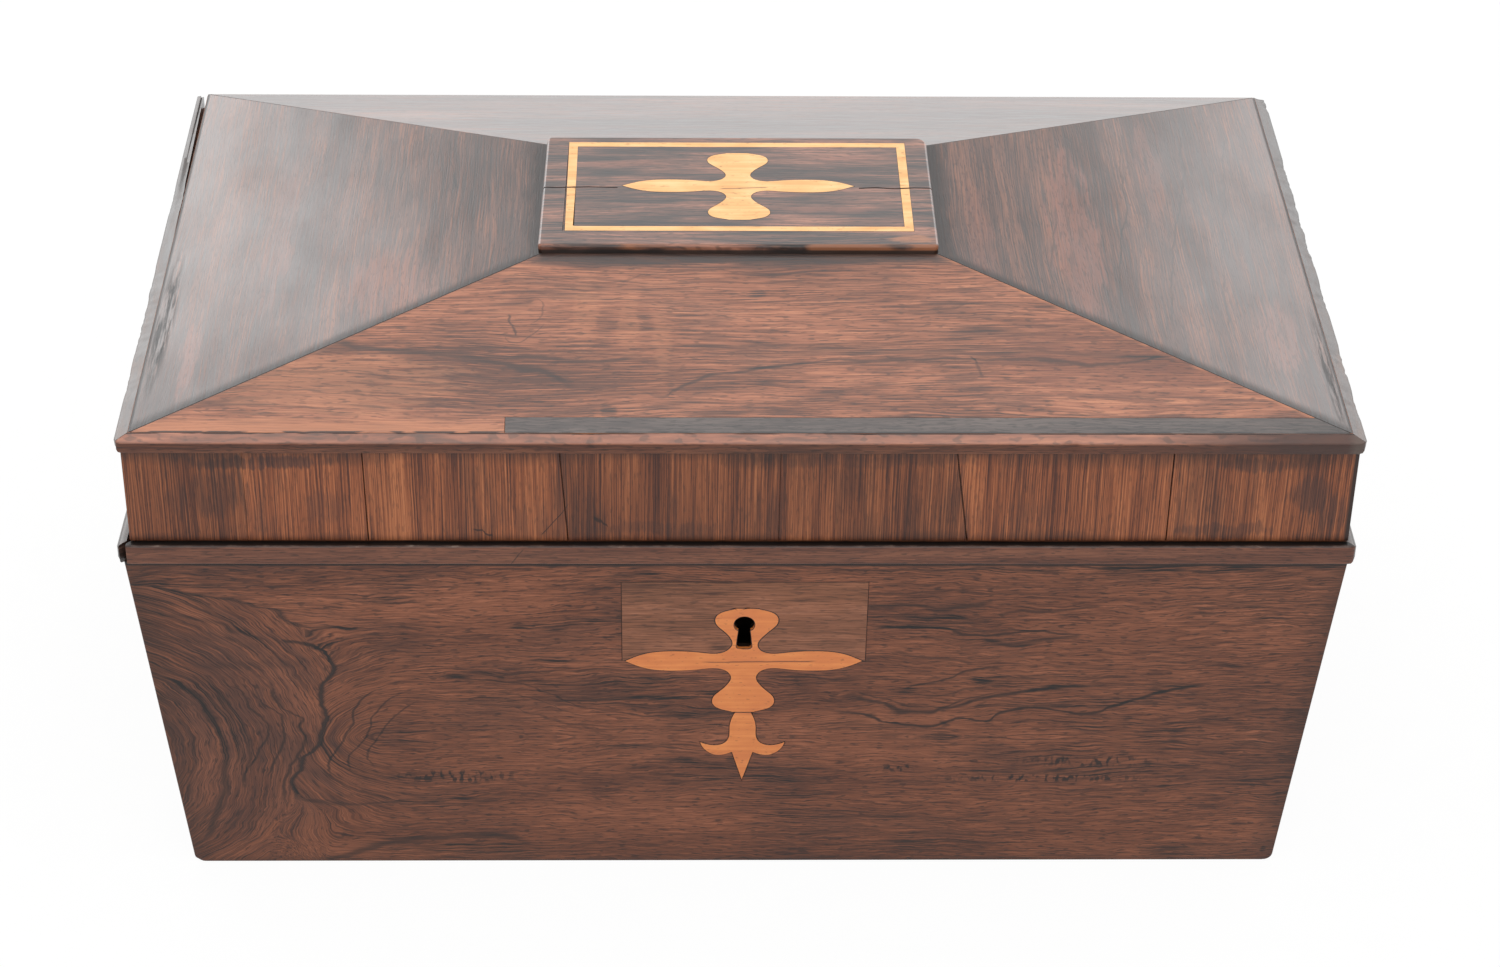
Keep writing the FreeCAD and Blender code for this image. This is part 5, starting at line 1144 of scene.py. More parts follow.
def round_foot(shape, through):
    """Wear the two lower corners of a base veneer that is thin along this axis."""
    low = min(v.co.z for v in shape.verts) + 0.05 * MM
    round_edges(shape, [e for e in shape.edges if all(v.co.z < low for v in e.verts)
                        and abs(e.verts[0].co[through] - e.verts[1].co[through]) > 0.5 * MM], CORNER_WEAR)


SPRUNG_FOOT, SPRUNG_TOP = 0.4, 1.4


def spring_left(shape):
    """The left veneer has lifted a little from its board, most at the top."""
    for vert in shape.verts:
        up = vert.co.z / MM
        if -vert.co.x / MM > BASE_HALF - BASE_LEAN * (BASE_TOP - up) - 0.3:
            vert.co.x -= (SPRUNG_FOOT + (SPRUNG_TOP - SPRUNG_FOOT) * up / BASE_TOP) * MM


def worn_base_veneer(shape):
    """Wear of the front and back veneers of the base."""
    round_foot(shape, 1)
    spring_left(shape)


def worn_side_veneer(shape):
    """Wear of the side veneers of the base."""
    round_foot(shape, 0)
    spring_left(shape)


finished_copy("base_front_veneer", 0.25, reshape=worn_base_veneer)
finished_copy("base_back_veneer", 0.25, reshape=worn_base_veneer)
for side in ("left", "right"):
    finished_copy(f"base_{side}_veneer", 0.35, reshape=worn_side_veneer)
    finished_copy(f"frieze_{side}_veneer", 0.2)
    finished_copy(f"roof_{side}_veneer", 0.2)
for node in ("roof_front_veneer", "roof_back_veneer", "roof_front_strip", "frieze_back_veneer"):
    finished_copy(node, 0.2)

# %% Keyhole and inlay
KEYHOLE = (1.1, 83.5)
SLOT_TOP, SLOT_FOOT, SLOT_HALF, SLOT_WEAR = 81.6, 75.4, 1.75, 1.1
SLOT_NARROW, SLOT_SPREAD = 0.82, 0.36
HEAD_SHIFT, HEAD_LOW, HEAD_WIDE = 0.6, 75.0, 22.0
FADE_SIDE, FADE_UP, STEM_HALF, STEM_TOP = 6, 5, 3, 15


def shift_head(shape):
    """The head of the inlaid cross sits a little to the right of its stem, and the patch round it follows."""
    for vert in shape.verts:
        off, up = abs(vert.co.x / MM - KEYHOLE[0]), vert.co.z / MM - HEAD_LOW
        near = min(max((HEAD_WIDE - off) / FADE_SIDE, 0.0), 1.0) * min(max(up / FADE_UP, 0.0), 1.0)
        if off > STEM_HALF or up > STEM_TOP:
            vert.co.x += HEAD_SHIFT * near * MM


def worn_keyhole(shape):
    """The key has worn the slot wider towards its foot and rounded the foot."""
    shift_head(shape)
    slot = [v for v in shape.verts if abs(v.co.x / MM - KEYHOLE[0]) < SLOT_HALF + 0.2
            and SLOT_FOOT - 0.2 < v.co.z / MM < SLOT_TOP]
    for vert in slot:
        part = (SLOT_TOP - vert.co.z / MM) / (SLOT_TOP - SLOT_FOOT)
        vert.co.x = (KEYHOLE[0] + (vert.co.x / MM - KEYHOLE[0]) * (SLOT_NARROW + SLOT_SPREAD * part)) * MM
    foot = {v for v in slot if v.co.z / MM < SLOT_FOOT + 0.2}
    corners = [e for e in shape.edges if set(e.verts) <= foot
               and abs(e.verts[0].co.y - e.verts[1].co.y) > 0.3 * MM]
    round_edges(shape, corners, SLOT_WEAR)
    print(len(slot), "points and", len(corners), "corners of the keyhole slot worn")


finished_copy("keyhole_patch", 0.12, joint_wide=True, reshape=shift_head)
finished_copy("escutcheon_cross", 0.16, joint_wide=True, reshape=worn_keyhole)
for node in ("escutcheon_fleur", "tablet_cross"):
    finished_copy(node, 0.14, joint_wide=True)

# %% [markdown]
# ## Tablet and stringing
#
# The tablet is a slab let into the top of the lid. Its back right corner is worn round and its other
# corners are crisper, so a copy of the CAD slab has those corners drawn out again. The slab has split
# along its grain, and a Boolean modifier cuts that split, whose walls take the dark wax of the cutter.
# The stringing is four boxwood strips with mitred corners, made as four short prisms.

# %% Tablet
TABLET_CORNER, TABLET_MIDDLE = 3.0, 0.275
TABLET_EDGE, TABLET_ARRIS = 1.1, 0.8
TABLET_SKEW, SKEW_FROM = 0.75, -20.0
CRISP_CORNERS = {(-1, -1): 1.15, (1, -1): 1.3, (-1, 1): 1.6}


def crisp_tablet(shape):
    """Draw three worn corners out to a smaller radius, leave the fourth, and sharpen the top edge."""
    half = max(v.co.x for v in shape.verts) / MM
    deep = max(v.co.y for v in shape.verts) / MM - TABLET_MIDDLE
    top = max(v.co.z for v in shape.verts) / MM
    for vert in shape.verts:
        x, y = vert.co.x / MM, vert.co.y / MM - TABLET_MIDDLE
        inset = min(half - abs(x), deep - abs(y))
        across, along = abs(x) - (half - TABLET_CORNER), abs(y) - (deep - TABLET_CORNER)
        if across > 0 and along > 0:
            inset = TABLET_CORNER - math.hypot(across, along)
        drop = top - vert.co.z / MM
        if -0.01 < inset < TABLET_EDGE + 0.01 and drop < TABLET_EDGE + 0.01:
            out = inset * (1 - TABLET_ARRIS / TABLET_EDGE)
            way = Vector((max(across, 0.0), max(along, 0.0))).normalized() if across > 0 and along > 0 else (
                Vector((1, 0)) if half - abs(x) < deep - abs(y) else Vector((0, 1)))
            x += math.copysign(out * way[0], x)
            y += math.copysign(out * way[1], y)
            vert.co = x * MM, (y + TABLET_MIDDLE) * MM, (top - drop * TABLET_ARRIS / TABLET_EDGE) * MM
        sign = (1 if x > 0 else -1, 1 if y > 0 else -1)
        radius = CRISP_CORNERS.get(sign)
        across, along = abs(x) - (half - TABLET_CORNER), abs(y) - (deep - TABLET_CORNER)
        if radius is None or across < -0.01 or along < -0.01:
            continue
        out = TABLET_CORNER - radius
        reach = math.hypot(across, along)
        keep = max(reach - out, 0.0) / reach if reach else 0.0
        vert.co.x = sign[0] * (half - radius + across * keep) * MM
        vert.co.y = (sign[1] * (deep - radius + along * keep) + TABLET_MIDDLE) * MM
    for vert in shape.verts:
        front = min(max((TABLET_MIDDLE - vert.co.y / MM) / deep, 0.0), 1.0)
        if vert.co.x < SKEW_FROM * MM:
            vert.co.x -= TABLET_SKEW * front * MM


# %% Splits in the tablet
# The slab has split along its grain on both sides of the cross, and the stringing has parted there too.
SPLITS = (((-54, 1.5), (-47, 1.2), (-39, 1.6), (-31.5, 1.3)),
          ((31.5, 1.2), (36, 1.6), (41, 1.0), (46, 1.5), (54, 1.2)))
SPLIT_WIDTH, SPLIT_DEPTH = 0.4, 1.2
shape = bmesh.new()
slab_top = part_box("lid_tablet")[1].z / MM
for points in SPLITS:
    rows = [[shape.verts.new((x * MM, (y + side * SPLIT_WIDTH / 2) * MM, (slab_top + up) * MM))
             for side, up in ((-1, 1), (1, 1), (1, -SPLIT_DEPTH), (-1, -SPLIT_DEPTH))] for x, y in points]
    for here, after in zip(rows, rows[1:]):
        for k in range(4):
            shape.faces.new((here[k], here[(k + 1) % 4], after[(k + 1) % 4], after[k]))
    shape.faces.new(rows[0])
    shape.faces.new(rows[-1])
bmesh.ops.recalc_face_normals(shape, faces=shape.faces)
mesh = mesh_of(shape, "splits")
mesh.materials.append(joint_wax)
splits = piece("splits", mesh)
finished_copy("lid_tablet", 0.08, reshape=crisp_tablet, cutter=splits)
print("tablet split in", len(SPLITS), "places")

# %% Stringing round the tablet
low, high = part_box("tablet_stringing")
STRING_WIDTH = 2.5 * MM
shape = bmesh.new()
outer = [Vector((x, y)) for x, y in ((low.x, low.y), (high.x, low.y), (high.x, high.y), (low.x, high.y))]
middle = Vector(((low.x + high.x) / 2, (low.y + high.y) / 2))
inner = [corner + Vector((math.copysign(STRING_WIDTH, middle.x - corner.x),
                          math.copysign(STRING_WIDTH, middle.y - corner.y))) for corner in outer]
for i in range(4):
    j = (i + 1) % 4
    ring = [outer[i], outer[j], inner[j], inner[i]]
    bottom = [shape.verts.new((*point, low.z)) for point in ring]
    top = [shape.verts.new((*point, high.z)) for point in ring]
    shape.faces.new(top)
    shape.faces.new(bottom[::-1])
    for k in range(4):
        shape.faces.new((bottom[k], bottom[(k + 1) % 4], top[(k + 1) % 4], top[k]))
stringing = finish(shape, "tablet_stringing_mitred", [tablet_boxwood, joint_wax], 0.1, joint_wide=True,
                   cutter=splits)
bpy.data.objects.remove(splits)
stand_for(stringing, "tablet_stringing")
print("stringing in four strips")

# %% [markdown]
# ## Frieze leaves
#
# The front of the lid is banded with seven leaves of veneer, laid side by side with the grain upright.
# Two of their joints lean and four stand open by about 0.3 mm. Each leaf is a small prism with
# its own tone, kept as an attribute that the material reads, because a leaf came from a different place
# in the veneer stack.

# %% Frieze
# Each joint has its place at the top of the frieze, its place at the foot and its gap.
LEAF_JOINTS = ((-151, -151, 0.0), (-121.8, -121.8, 0.05), (-92.6, -92.2, 0.3), (-44.6, -42.9, 0.3),
               (9.4, 9.2, 0.08), (52.4, 56.0, 0.35), (105.5, 105.5, 0.28), (151, 151, 0.0))
LEAF_TONES = (0.7, 1.0, 0.9, 0.72, 0.72, 0.95, 0.86)
low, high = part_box("frieze_front_veneer")
shape = bmesh.new()
tone = shape.verts.layers.float.new("leaf_tone")
for left, right, lightness in zip(LEAF_JOINTS, LEAF_JOINTS[1:], LEAF_TONES):
    corners = [(left[1] + left[2] / 2, low.z), (right[1] - right[2] / 2, low.z),
               (right[0] - right[2] / 2, high.z), (left[0] + left[2] / 2, high.z)]
    front = [shape.verts.new((x * MM, low.y, z)) for x, z in corners]
    back = [shape.verts.new((x * MM, high.y, z)) for x, z in corners]
    for vert in front + back:
        vert[tone] = lightness
    shape.faces.new(front)
    shape.faces.new(back[::-1])
    for k in range(4):
        shape.faces.new((front[(k + 1) % 4], front[k], back[k], back[(k + 1) % 4]))
leaves = finish(shape, "frieze_front_leaves", [frieze_wood], 0.08)
stand_for(leaves, "frieze_front_veneer")
print(len(LEAF_TONES), "leaves in the frieze")

# %% [markdown]
# ## Mouldings
#
# A moulding is one section run along a path, so Geometry Nodes make it: a grid is bent round the
# section, its ends are cut at 45 degrees where two lengths meet, and a little seeded noise wears the
# arris. The tree has the length, the mitres and the wear as named inputs, so one tree serves every
# length. Chips and the gap at the back left are pressed in afterwards, where the photograph shows them.

# %% Moulding tree
def new_group(name, geometry, inputs):
    """An empty Geometry Nodes tree that takes a mesh and named inputs, and the sockets they arrive at."""
    made = bpy.data.node_groups.new(name, "GeometryNodeTree")
    made.interface.new_socket("Geometry", in_out="OUTPUT", socket_type="NodeSocketGeometry")
    made.interface.new_socket(geometry, in_out="INPUT", socket_type="NodeSocketGeometry")
    for kind, labels in inputs.items():
        for label in labels:
            made.interface.new_socket(label, in_out="INPUT", socket_type="NodeSocket" + kind)
    return made, add(made, "NodeGroupInput").outputs


moulding_tree, given = new_group("mitred_moulding", "Section", {
    "Float": ("Half Length", "Nose", "Start Mitre", "End Mitre", "Wear", "Seed"), "Int": ("Steps",),
    "Material": ("Wood",)})
tree = moulding_tree
count = add(tree, "GeometryNodeAttributeDomainSize", (given["Section"],)).outputs["Point Count"]
around = add(tree, "Math ADD", (count, 1.0))
grid = add(tree, "GeometryNodeMeshGrid", {"Size X": 1.0, "Size Y": 1.0, "Vertices X": given["Steps"],
                                          "Vertices Y": around})
spot = add(tree, "SeparateXYZ", (add(tree, "GeometryNodeInputPosition"),))
row = add(tree, "Math ADD", (spot.outputs[1], 0.5))
row = add(tree, "Math MULTIPLY", (row, count))
row = add(tree, "Math ROUND", (row,))
row = add(tree, "Math MODULO", (row, count))
here = add(tree, "GeometryNodeSampleIndex", {0: given["Section"], "Index": row}, data_type="FLOAT_VECTOR",
           domain="POINT")
place = add(tree, "GeometryNodeInputPosition")
tree.links.new(place.outputs[0], next(s for s in here.inputs if s.enabled and s.type == "VECTOR"))
section = add(tree, "SeparateXYZ", (here,))
deep = add(tree, "Math SUBTRACT", (section.outputs[1], given["Nose"]))
start = add(tree, "Math MULTIPLY", (deep, given["Start Mitre"]))
start = add(tree, "Math SUBTRACT", (start, given["Half Length"]))
end = add(tree, "Math MULTIPLY", (deep, given["End Mitre"]))
end = add(tree, "Math SUBTRACT", (given["Half Length"], end))
run = add(tree, "MapRange", {"Value": spot.outputs[0], "From Min": -0.5, "From Max": 0.5, "To Min": start,
                             "To Max": end})
bent = add(tree, "CombineXYZ", (run, section.outputs[1], section.outputs[2]))
tube = add(tree, "GeometryNodeSetPosition", {0: grid, "Position": bent})
tube = add(tree, "GeometryNodeMergeByDistance", {0: tube, "Distance": 1e-6})
long_way = add(tree, "VectorMath MULTIPLY", (add(tree, "GeometryNodeInputPosition"), (0.25, 1, 1)))
uneven = add(tree, "TexNoise", {"Vector": long_way, "Scale": 170.0, "Detail": 3.0, "W": given["Seed"]},
             noise_dimensions="4D")
depth = add(tree, "Math SUBTRACT", (uneven, 0.62))
depth = add(tree, "Math MULTIPLY", (depth, given["Wear"]))
worn = add(tree, "VectorMath SCALE", {0: add(tree, "GeometryNodeInputNormal"), "Scale": depth})
tube = add(tree, "GeometryNodeSetPosition", {0: tube, "Offset": worn})
tube = add(tree, "GeometryNodeRealizeInstances", (tube,))
tube = add(tree, "GeometryNodeSetMaterial", {0: tube, "Material": given["Wood"]})
add(tree, "NodeGroupOutput", (tube,))


def grown(tree, name, mesh, values):
    """Run a Geometry Nodes tree on a mesh with these named inputs and keep the result as a plain mesh."""
    made = piece(name, mesh)
    modifier = made.modifiers.new(tree.name, "NODES")
    modifier.node_group = tree
    for item in tree.interface.items_tree:
        if item.in_out == "INPUT" and item.name in values:
            modifier[item.identifier] = values[item.name]
    plain_mesh(made)
    return made


# %% One length of moulding
LID_SECTION = ((-85.225, 136.6), (-87.625, 136.6), (-88.525, 140.2), (-85.225, 141.0))
RIM_SECTION = ((-86.39, 104.2), (-88.925, 104.2), (-89.275, 110.0), (-86.825, 110.0))
LID_ROUND, RIM_ROUND = {1: 0.3, 2: 0.6}, {1: 0.7, 2: 0.9}
ARRIS_WEAR, GRID_STEPS = 0.2, 2.4  # depth of wear, and steps for each millimetre of the half length


def section_ring(corners, rounded, arc=5, fill=3):
    """A section's outline as a ring of points, with some corners rounded and its straight runs divided."""
    ring = []
    for i in range(len(corners)):
        here, before, after = (Vector(corners[k % len(corners)]) for k in (i, i - 1, i + 1))
        radius = rounded.get(i)
        if not radius:
            ring.append(here)
            continue
        a, b = (before - here).normalized(), (after - here).normalized()
        reach = radius / math.tan(a.angle(b) / 2)
        first, last = here + a * reach, here + b * reach
        for step in range(arc + 1):
            part = step / arc
            ring.append(first * (1 - part) ** 2 + here * 2 * part * (1 - part) + last * part ** 2)
    divided = []
    for here, after in zip(ring, ring[1:] + ring[:1]):
        parts = fill if (after - here).length > 1.0 else 1
        divided += [here.lerp(after, part / parts) for part in range(parts)]
    return divided


def moulding(name, node, section, rounded, half, mitres, seed, wood, turn=0.0, move=(0, 0), presses=()):
    """Grow one length, cap its ends, press in its chips and turn it into place."""
    ring = section_ring(section, rounded)
    mesh = bpy.data.meshes.new(name)
    mesh.from_pydata([(0, y * MM, z * MM) for y, z in ring],
                     [(k, (k + 1) % len(ring)) for k in range(len(ring))], [])
    made = grown(moulding_tree, name, mesh,
                 {"Half Length": half * MM, "Nose": min(y for y, z in section) * MM, "Start Mitre": mitres[0],
                  "End Mitre": mitres[1], "Wear": ARRIS_WEAR * MM, "Seed": seed,
                  "Steps": int(half * GRID_STEPS),
                  "Wood": wood})
    shape = bmesh.new()
    shape.from_mesh(made.data)
    bmesh.ops.holes_fill(shape, edges=[e for e in shape.edges if e.is_boundary], sides=0)
    bmesh.ops.rotate(shape, verts=shape.verts, matrix=Matrix.Rotation(turn, 3, "Z"))
    bmesh.ops.translate(shape, verts=shape.verts, vec=(move[0] * MM, move[1] * MM, 0))
    for press in presses:
        for vert in shape.verts:
            vert.co = Vector(press(vert.co / MM)) * MM
    bmesh.ops.recalc_face_normals(shape, faces=shape.faces)
    shape.to_mesh(made.data)
    shape.free()
    made.data.shade_smooth()
    made.data.set_sharp_from_angle(angle=math.radians(40))
    stand_for(made, node)
    return made


# %% [markdown]
# ## Chips, worn ends and slips
#
# Each bruise or slip is a small function that takes a point and gives back where it has moved to, and
# a length of moulding runs all of its points through its own list of them. A Displace modifier would
# move whole areas by one texture; a list of functions can place each bruise by itself.

# %% Chips, worn ends and slips
def chip(middle, radius, depth, push):
    """A bruise: points within radius of middle move by depth along push, with a ragged edge."""
    middle, push = Vector(middle), Vector(push).normalized()

    def press(place):
        near = max(0.0, 1 - (place - middle).length / radius)
        ragged = 0.7 + 0.8 * noise.noise(place * 0.45) + 0.25 * noise.noise(place * 1.6)
        return place + push * depth * min(1.0, near * 2.0) * max(0.0, ragged)
    return press


def worn_corner(side, axis, edge, way, radius):
    """Round the two corners where x passes side and another axis passes edge, going way."""
    def press(place):
        across, along = abs(place.x) - (side - radius), way * (place[axis] - edge) + radius
        reach = math.hypot(across, along)
        if min(across, along) < 0 or reach < radius:
            return place
        place = place.copy()
        place.x = math.copysign(side - radius + across * radius / reach, place.x)
        place[axis] = edge + way * (along * radius / reach - radius)
        return place
    return press


GAP_START, GAP_RUN, GAP_EDGE, GAP_WIDE, GAP_DEEP = 8, 70, -151.2, 1.2, 0.9


def sprung_open(place):
    """The left moulding has lost its inner edge towards the back, which leaves a dark gap by the slope."""
    part = min(max((place.y - GAP_START) / GAP_RUN, 0.0), 1.0)
    inner = min(max((place.x - GAP_EDGE) / GAP_WIDE, 0.0), 1.0)
    return place + Vector((-GAP_WIDE * part * inner, 0, -GAP_DEEP * part * inner))


RIM_SHORT, RIM_SQUEEZE = -151.9, 0.15


def slipped_front(place):
    """The rim's front length has shrunk from the mitre at its left end."""
    return Vector((max(place.x, RIM_SHORT + RIM_SQUEEZE * (place.x - RIM_SHORT)), place.y, place.z))


SLIP_START, SLIP_RUN, SLIP_OUT, SLIP_BACK, SLIP_DOWN = -30, 58, 1.2, 0.35, 0.3


def slipped_left(place):
    """The rim's left length has slipped outwards at its front end."""
    part = min(max((SLIP_START - place.y) / SLIP_RUN, 0.0), 1.0)
    return place + Vector((-SLIP_OUT * part, SLIP_BACK * part * part, -SLIP_DOWN * part))


HINGE_LINE, HINGE_BEVEL = 86.8, 1.1


def bevelled_back(place):
    """The back end of the rim's side lengths is bevelled with the back edge, to let the lid swing past."""
    return Vector((place.x, place.y,
                   min(place.z, RIM_SECTION[2][1] - HINGE_BEVEL * max(place.y - HINGE_LINE, 0.0))))


# %% Six lengths of moulding
IN, DOWN = (0, 1, 0.2), (0, 0.2, -1)
LID_NOSE, RIM_NOSE = (152.5, LID_SECTION[2][0]), (153.25, RIM_SECTION[2][0])
LID_FOOT, RIM_LOW, RIM_TOP = LID_SECTION[1][1], RIM_SECTION[1][1], RIM_SECTION[2][1]
lid_ends = [worn_corner(LID_NOSE[0], 1, LID_NOSE[1], -1, 2.6), worn_corner(LID_NOSE[0], 2, LID_FOOT, -1, 2.4)]
rim_ends = [worn_corner(RIM_NOSE[0], 1, RIM_NOSE[1], -1, 2.2), worn_corner(RIM_NOSE[0], 2, RIM_LOW, -1, 2.6),
            worn_corner(RIM_NOSE[0], 2, RIM_TOP, 1, 1.6)]
lid_chips = lid_ends + [chip((80, -88.4, 139.6), 2.6, 0.6, (0, 1, -0.6)),
                        chip((-110, -88.4, 139.6), 3.0, 0.25, IN),
                        chip((30, -88.5, 139.8), 5.0, 0.2, DOWN), chip((-38, -88.5, 139.8), 7.0, 0.2, DOWN)]
# Each bruise of the side mouldings has its place from front to back, its radius and its depth.
LEFT_BRUISES = ((-62, 8, 0.2), (-40, 9, 0.3), (-27, 8, 0.3), (-12, 7, 0.2), (30, 9, 0.2))
RIGHT_BRUISES = ((-70, 8, 0.3), (-52, 9, 0.4), (-20, 9, 0.3), (4, 9, 0.4), (22, 12, 0.5), (44, 10, 0.45),
                 (86, 5, 0.6))
SIDE_ARRIS = (152.3, 139.7)
left_chips, right_chips = (lid_ends + more + [
    chip((sign * SIDE_ARRIS[0], y, SIDE_ARRIS[1]), radius, depth, (-sign, 0, -0.4))
    for y, radius, depth in bruises]
    for sign, more, bruises in ((-1, [sprung_open], LEFT_BRUISES), (1, [], RIGHT_BRUISES)))
moulding("lid_moulding_front_run", "lid_moulding_front", LID_SECTION, LID_ROUND, LID_NOSE[0], (1, 1), 1.0,
         moulding_wood, presses=lid_chips)
moulding("rim_moulding_front_run", "rim_moulding_front", RIM_SECTION, RIM_ROUND, RIM_NOSE[0], (1, 1), 4.0,
         rim_wood, presses=rim_ends + [slipped_front])
for side, sign, mitres in (("left", -1, (0, 1)), ("right", 1, (1, 0))):
    for kind, section, rounded, nose, presses in (
            ("lid", LID_SECTION, LID_ROUND, LID_NOSE, left_chips if side == "left" else right_chips),
            ("rim", RIM_SECTION, RIM_ROUND, RIM_NOSE,
             rim_ends + [bevelled_back] + ([slipped_left] if side == "left" else []))):
        low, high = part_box(f"{kind}_moulding_{side}")
        half, middle = (high.y - low.y) / 2 / MM, (high.y + low.y) / 2 / MM
        moulding(f"{kind}_moulding_{side}_run", f"{kind}_moulding_{side}", section, rounded, half, mitres,
                 2.0 + sign, moulding_side_wood, math.radians(90 * sign),
                 (sign * (nose[0] + nose[1]), middle), presses)
print("six lengths of moulding grown,", len(lid_chips + left_chips + right_chips), "bruises and worn corners")

# %% [markdown]
# ## Screws
#
# Slotted brass screws hold the lock and the hinges. They all have one shape, so one Geometry Nodes tree
# puts a countersunk head with a filed slot at every place, each turned by a seeded random angle as
# a screwdriver would leave it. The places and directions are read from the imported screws.

# %% Screw tree
screw_tree, given = new_group("slotted_screws", "Places",
                              {"Float": ("Head Radius", "Head Height", "Shank Radius", "Length", "Slot Width",
                                         "Slot Depth"), "Int": ("Seed",), "Material": ("Metal",)})
tree = screw_tree
head = add(tree, "GeometryNodeMeshCone", {"Vertices": 32, "Radius Top": given["Shank Radius"],
                                          "Radius Bottom": given["Head Radius"],
                                          "Depth": given["Head Height"]})
length = add(tree, "Math MULTIPLY", (given["Head Radius"], 3.0))
slot_high = add(tree, "Math MULTIPLY", (given["Slot Depth"], 2.0))
slot = add(tree, "GeometryNodeMeshCube",
           {"Size": add(tree, "CombineXYZ", (length, given["Slot Width"], slot_high))})
cut = add(tree, "GeometryNodeMeshBoolean", {"Mesh 1": head, "Mesh 2": slot}, operation="DIFFERENCE")
shank = add(tree, "GeometryNodeMeshCylinder", {"Vertices": 16, "Radius": given["Shank Radius"],
                                               "Depth": given["Length"]})
middle = add(tree, "Math DIVIDE", (given["Length"], 2.0))
middle = add(tree, "Math ADD", (middle, given["Head Height"]))
shank = add(tree, "GeometryNodeTransform", {0: shank, "Translation": add(tree, "CombineXYZ", {2: middle})})
whole = add(tree, "GeometryNodeJoinGeometry")
for part in (cut, shank):
    tree.links.new(part.outputs[0], whole.inputs[0])
aim = add(tree, "GeometryNodeInputNamedAttribute", {"Name": "into_wood"}, data_type="FLOAT_VECTOR")
aimed = add(tree, "FunctionNodeAlignRotationToVector", {"Vector": aim}, axis="Z")
spin = add(tree, "FunctionNodeRandomValue", {"Min": 0.0, "Max": math.pi, "Seed": given["Seed"]},
           data_type="FLOAT")
spin = add(tree, "FunctionNodeAxisAngleToRotation", {"Axis": (0, 0, 1), "Angle": spin})
turned = add(tree, "FunctionNodeRotateRotation", (aimed, spin), rotation_space="LOCAL")
put = add(tree, "GeometryNodeInstanceOnPoints", {"Points": given["Places"], "Instance": whole,
                                                 "Rotation": turned})
put = add(tree, "GeometryNodeRealizeInstances", (put,))
put = add(tree, "GeometryNodeSetMaterial", {0: put, "Material": given["Metal"]})
add(tree, "NodeGroupOutput", (put,))


# %% Places of the screws
def islands(node):
    """The separate solids of a CAD node, each as a list of points."""
    shape = welded(node)
    left, found = set(shape.verts), []
    while left:
        reached = [left.pop()]
        for vert in reached:
            for edge in vert.link_edges:
                other = edge.other_vert(vert)
                if other in left:
                    left.remove(other)
                    reached.append(other)
        found.append([vert.co.copy() for vert in reached])
    shape.free()
    return sorted(found, key=lambda points: tuple(round(c, 5) for c in points[0]))


def screw_place(points):
    """The middle of a screw's head and the way that it points into the wood."""
    low = [min(p[k] for p in points) for k in range(3)]
    high = [max(p[k] for p in points) for k in range(3)]
    axis = max(range(3), key=lambda k: high[k] - low[k])
    middle = [(a + b) / 2 for a, b in zip(low, high)]

    def spread(level):
        """How wide the screw is near one of its ends."""
        return max(sum((p[k] - middle[k]) ** 2 for k in range(3) if k != axis) for p in points
                   if abs(p[axis] - level) < 0.2 * MM)
    head_low = spread(low[axis]) > spread(high[axis])
    middle[axis] = low[axis] if head_low else high[axis]
    way = [0.0, 0.0, 0.0]
    way[axis] = 1.0 if head_low else -1.0
    return middle, way


for node in ("base_brass_screws", "lid_brass_screws"):
    places = [screw_place(points) for points in islands(node)]
    mesh = bpy.data.meshes.new(node + "_places")
    mesh.from_pydata([place for place, way in places], [], [])
    aims = mesh.attributes.new("into_wood", "FLOAT_VECTOR", "POINT")
    for item, (place, way) in zip(aims.data, places):
        item.vector = way
    screws = grown(screw_tree, node + "_slotted", mesh, {"Head Radius": 2.0 * MM, "Head Height": 1.0 * MM,
                                                         "Shank Radius": 1.0 * MM, "Length": 6.0 * MM,
                                                         "Slot Width": 0.7 * MM, "Slot Depth": 0.55 * MM,
                                                         "Seed": 5, "Metal": brass})
    screws.data.set_sharp_from_angle(angle=math.radians(30))
    stand_for(screws, node)
    print(node, len(places), "screws")

# %% [markdown]
# ## Inside the base
#
# Under the lid lie two tea wells with lift-out lids, and between them a panel with a round hole for the
# glass bowl. The lids have turned knobs. The bowl is blown into a tapering form and cut with upright
# flutes, so it is made as a lathe profile whose outside dips a little at each flute.

# %% Tea lids, knobs, panel, linings and fittings
MATERIAL_OF.update({node: inside_wood for node in ("partition_left", "partition_right", "bowl_panel",
                                                   "tea_lid_left", "tea_lid_right", "tea_knob_left",
                                                   "tea_knob_right")})
MATERIAL_OF.update({node: brass for node in ("lock_plate", "lock_bolt", "link_plate", "hinge_base_leaves",
                                             "hinge_lid_leaves")})
MATERIAL_OF.update({"tea_lining_left": lead, "tea_lining_right": lead, "hinge_pins": iron,
                    "lock_key_pin": keyhole_shade_brass, "lock_case": keyhole_shade_brass})
for node, ease in (("partition_left", 0.4), ("partition_right", 0.4), ("bowl_panel", 0.5),
                   ("tea_lid_left", 0.3), ("tea_lid_right", 0.3), ("tea_lining_left", 0.2),
                   ("tea_lining_right", 0.2), ("lock_plate", 0.15), ("lock_case", 0.15),
                   ("lock_bolt", 0.12), ("link_plate", 0.15), ("hinge_base_leaves", 0.12),
                   ("hinge_lid_leaves", 0.12)):
    finished_copy(node, ease)
for node in ("tea_knob_left", "tea_knob_right", "hinge_pins", "lock_key_pin"):
    finished_copy(node, 0.0)
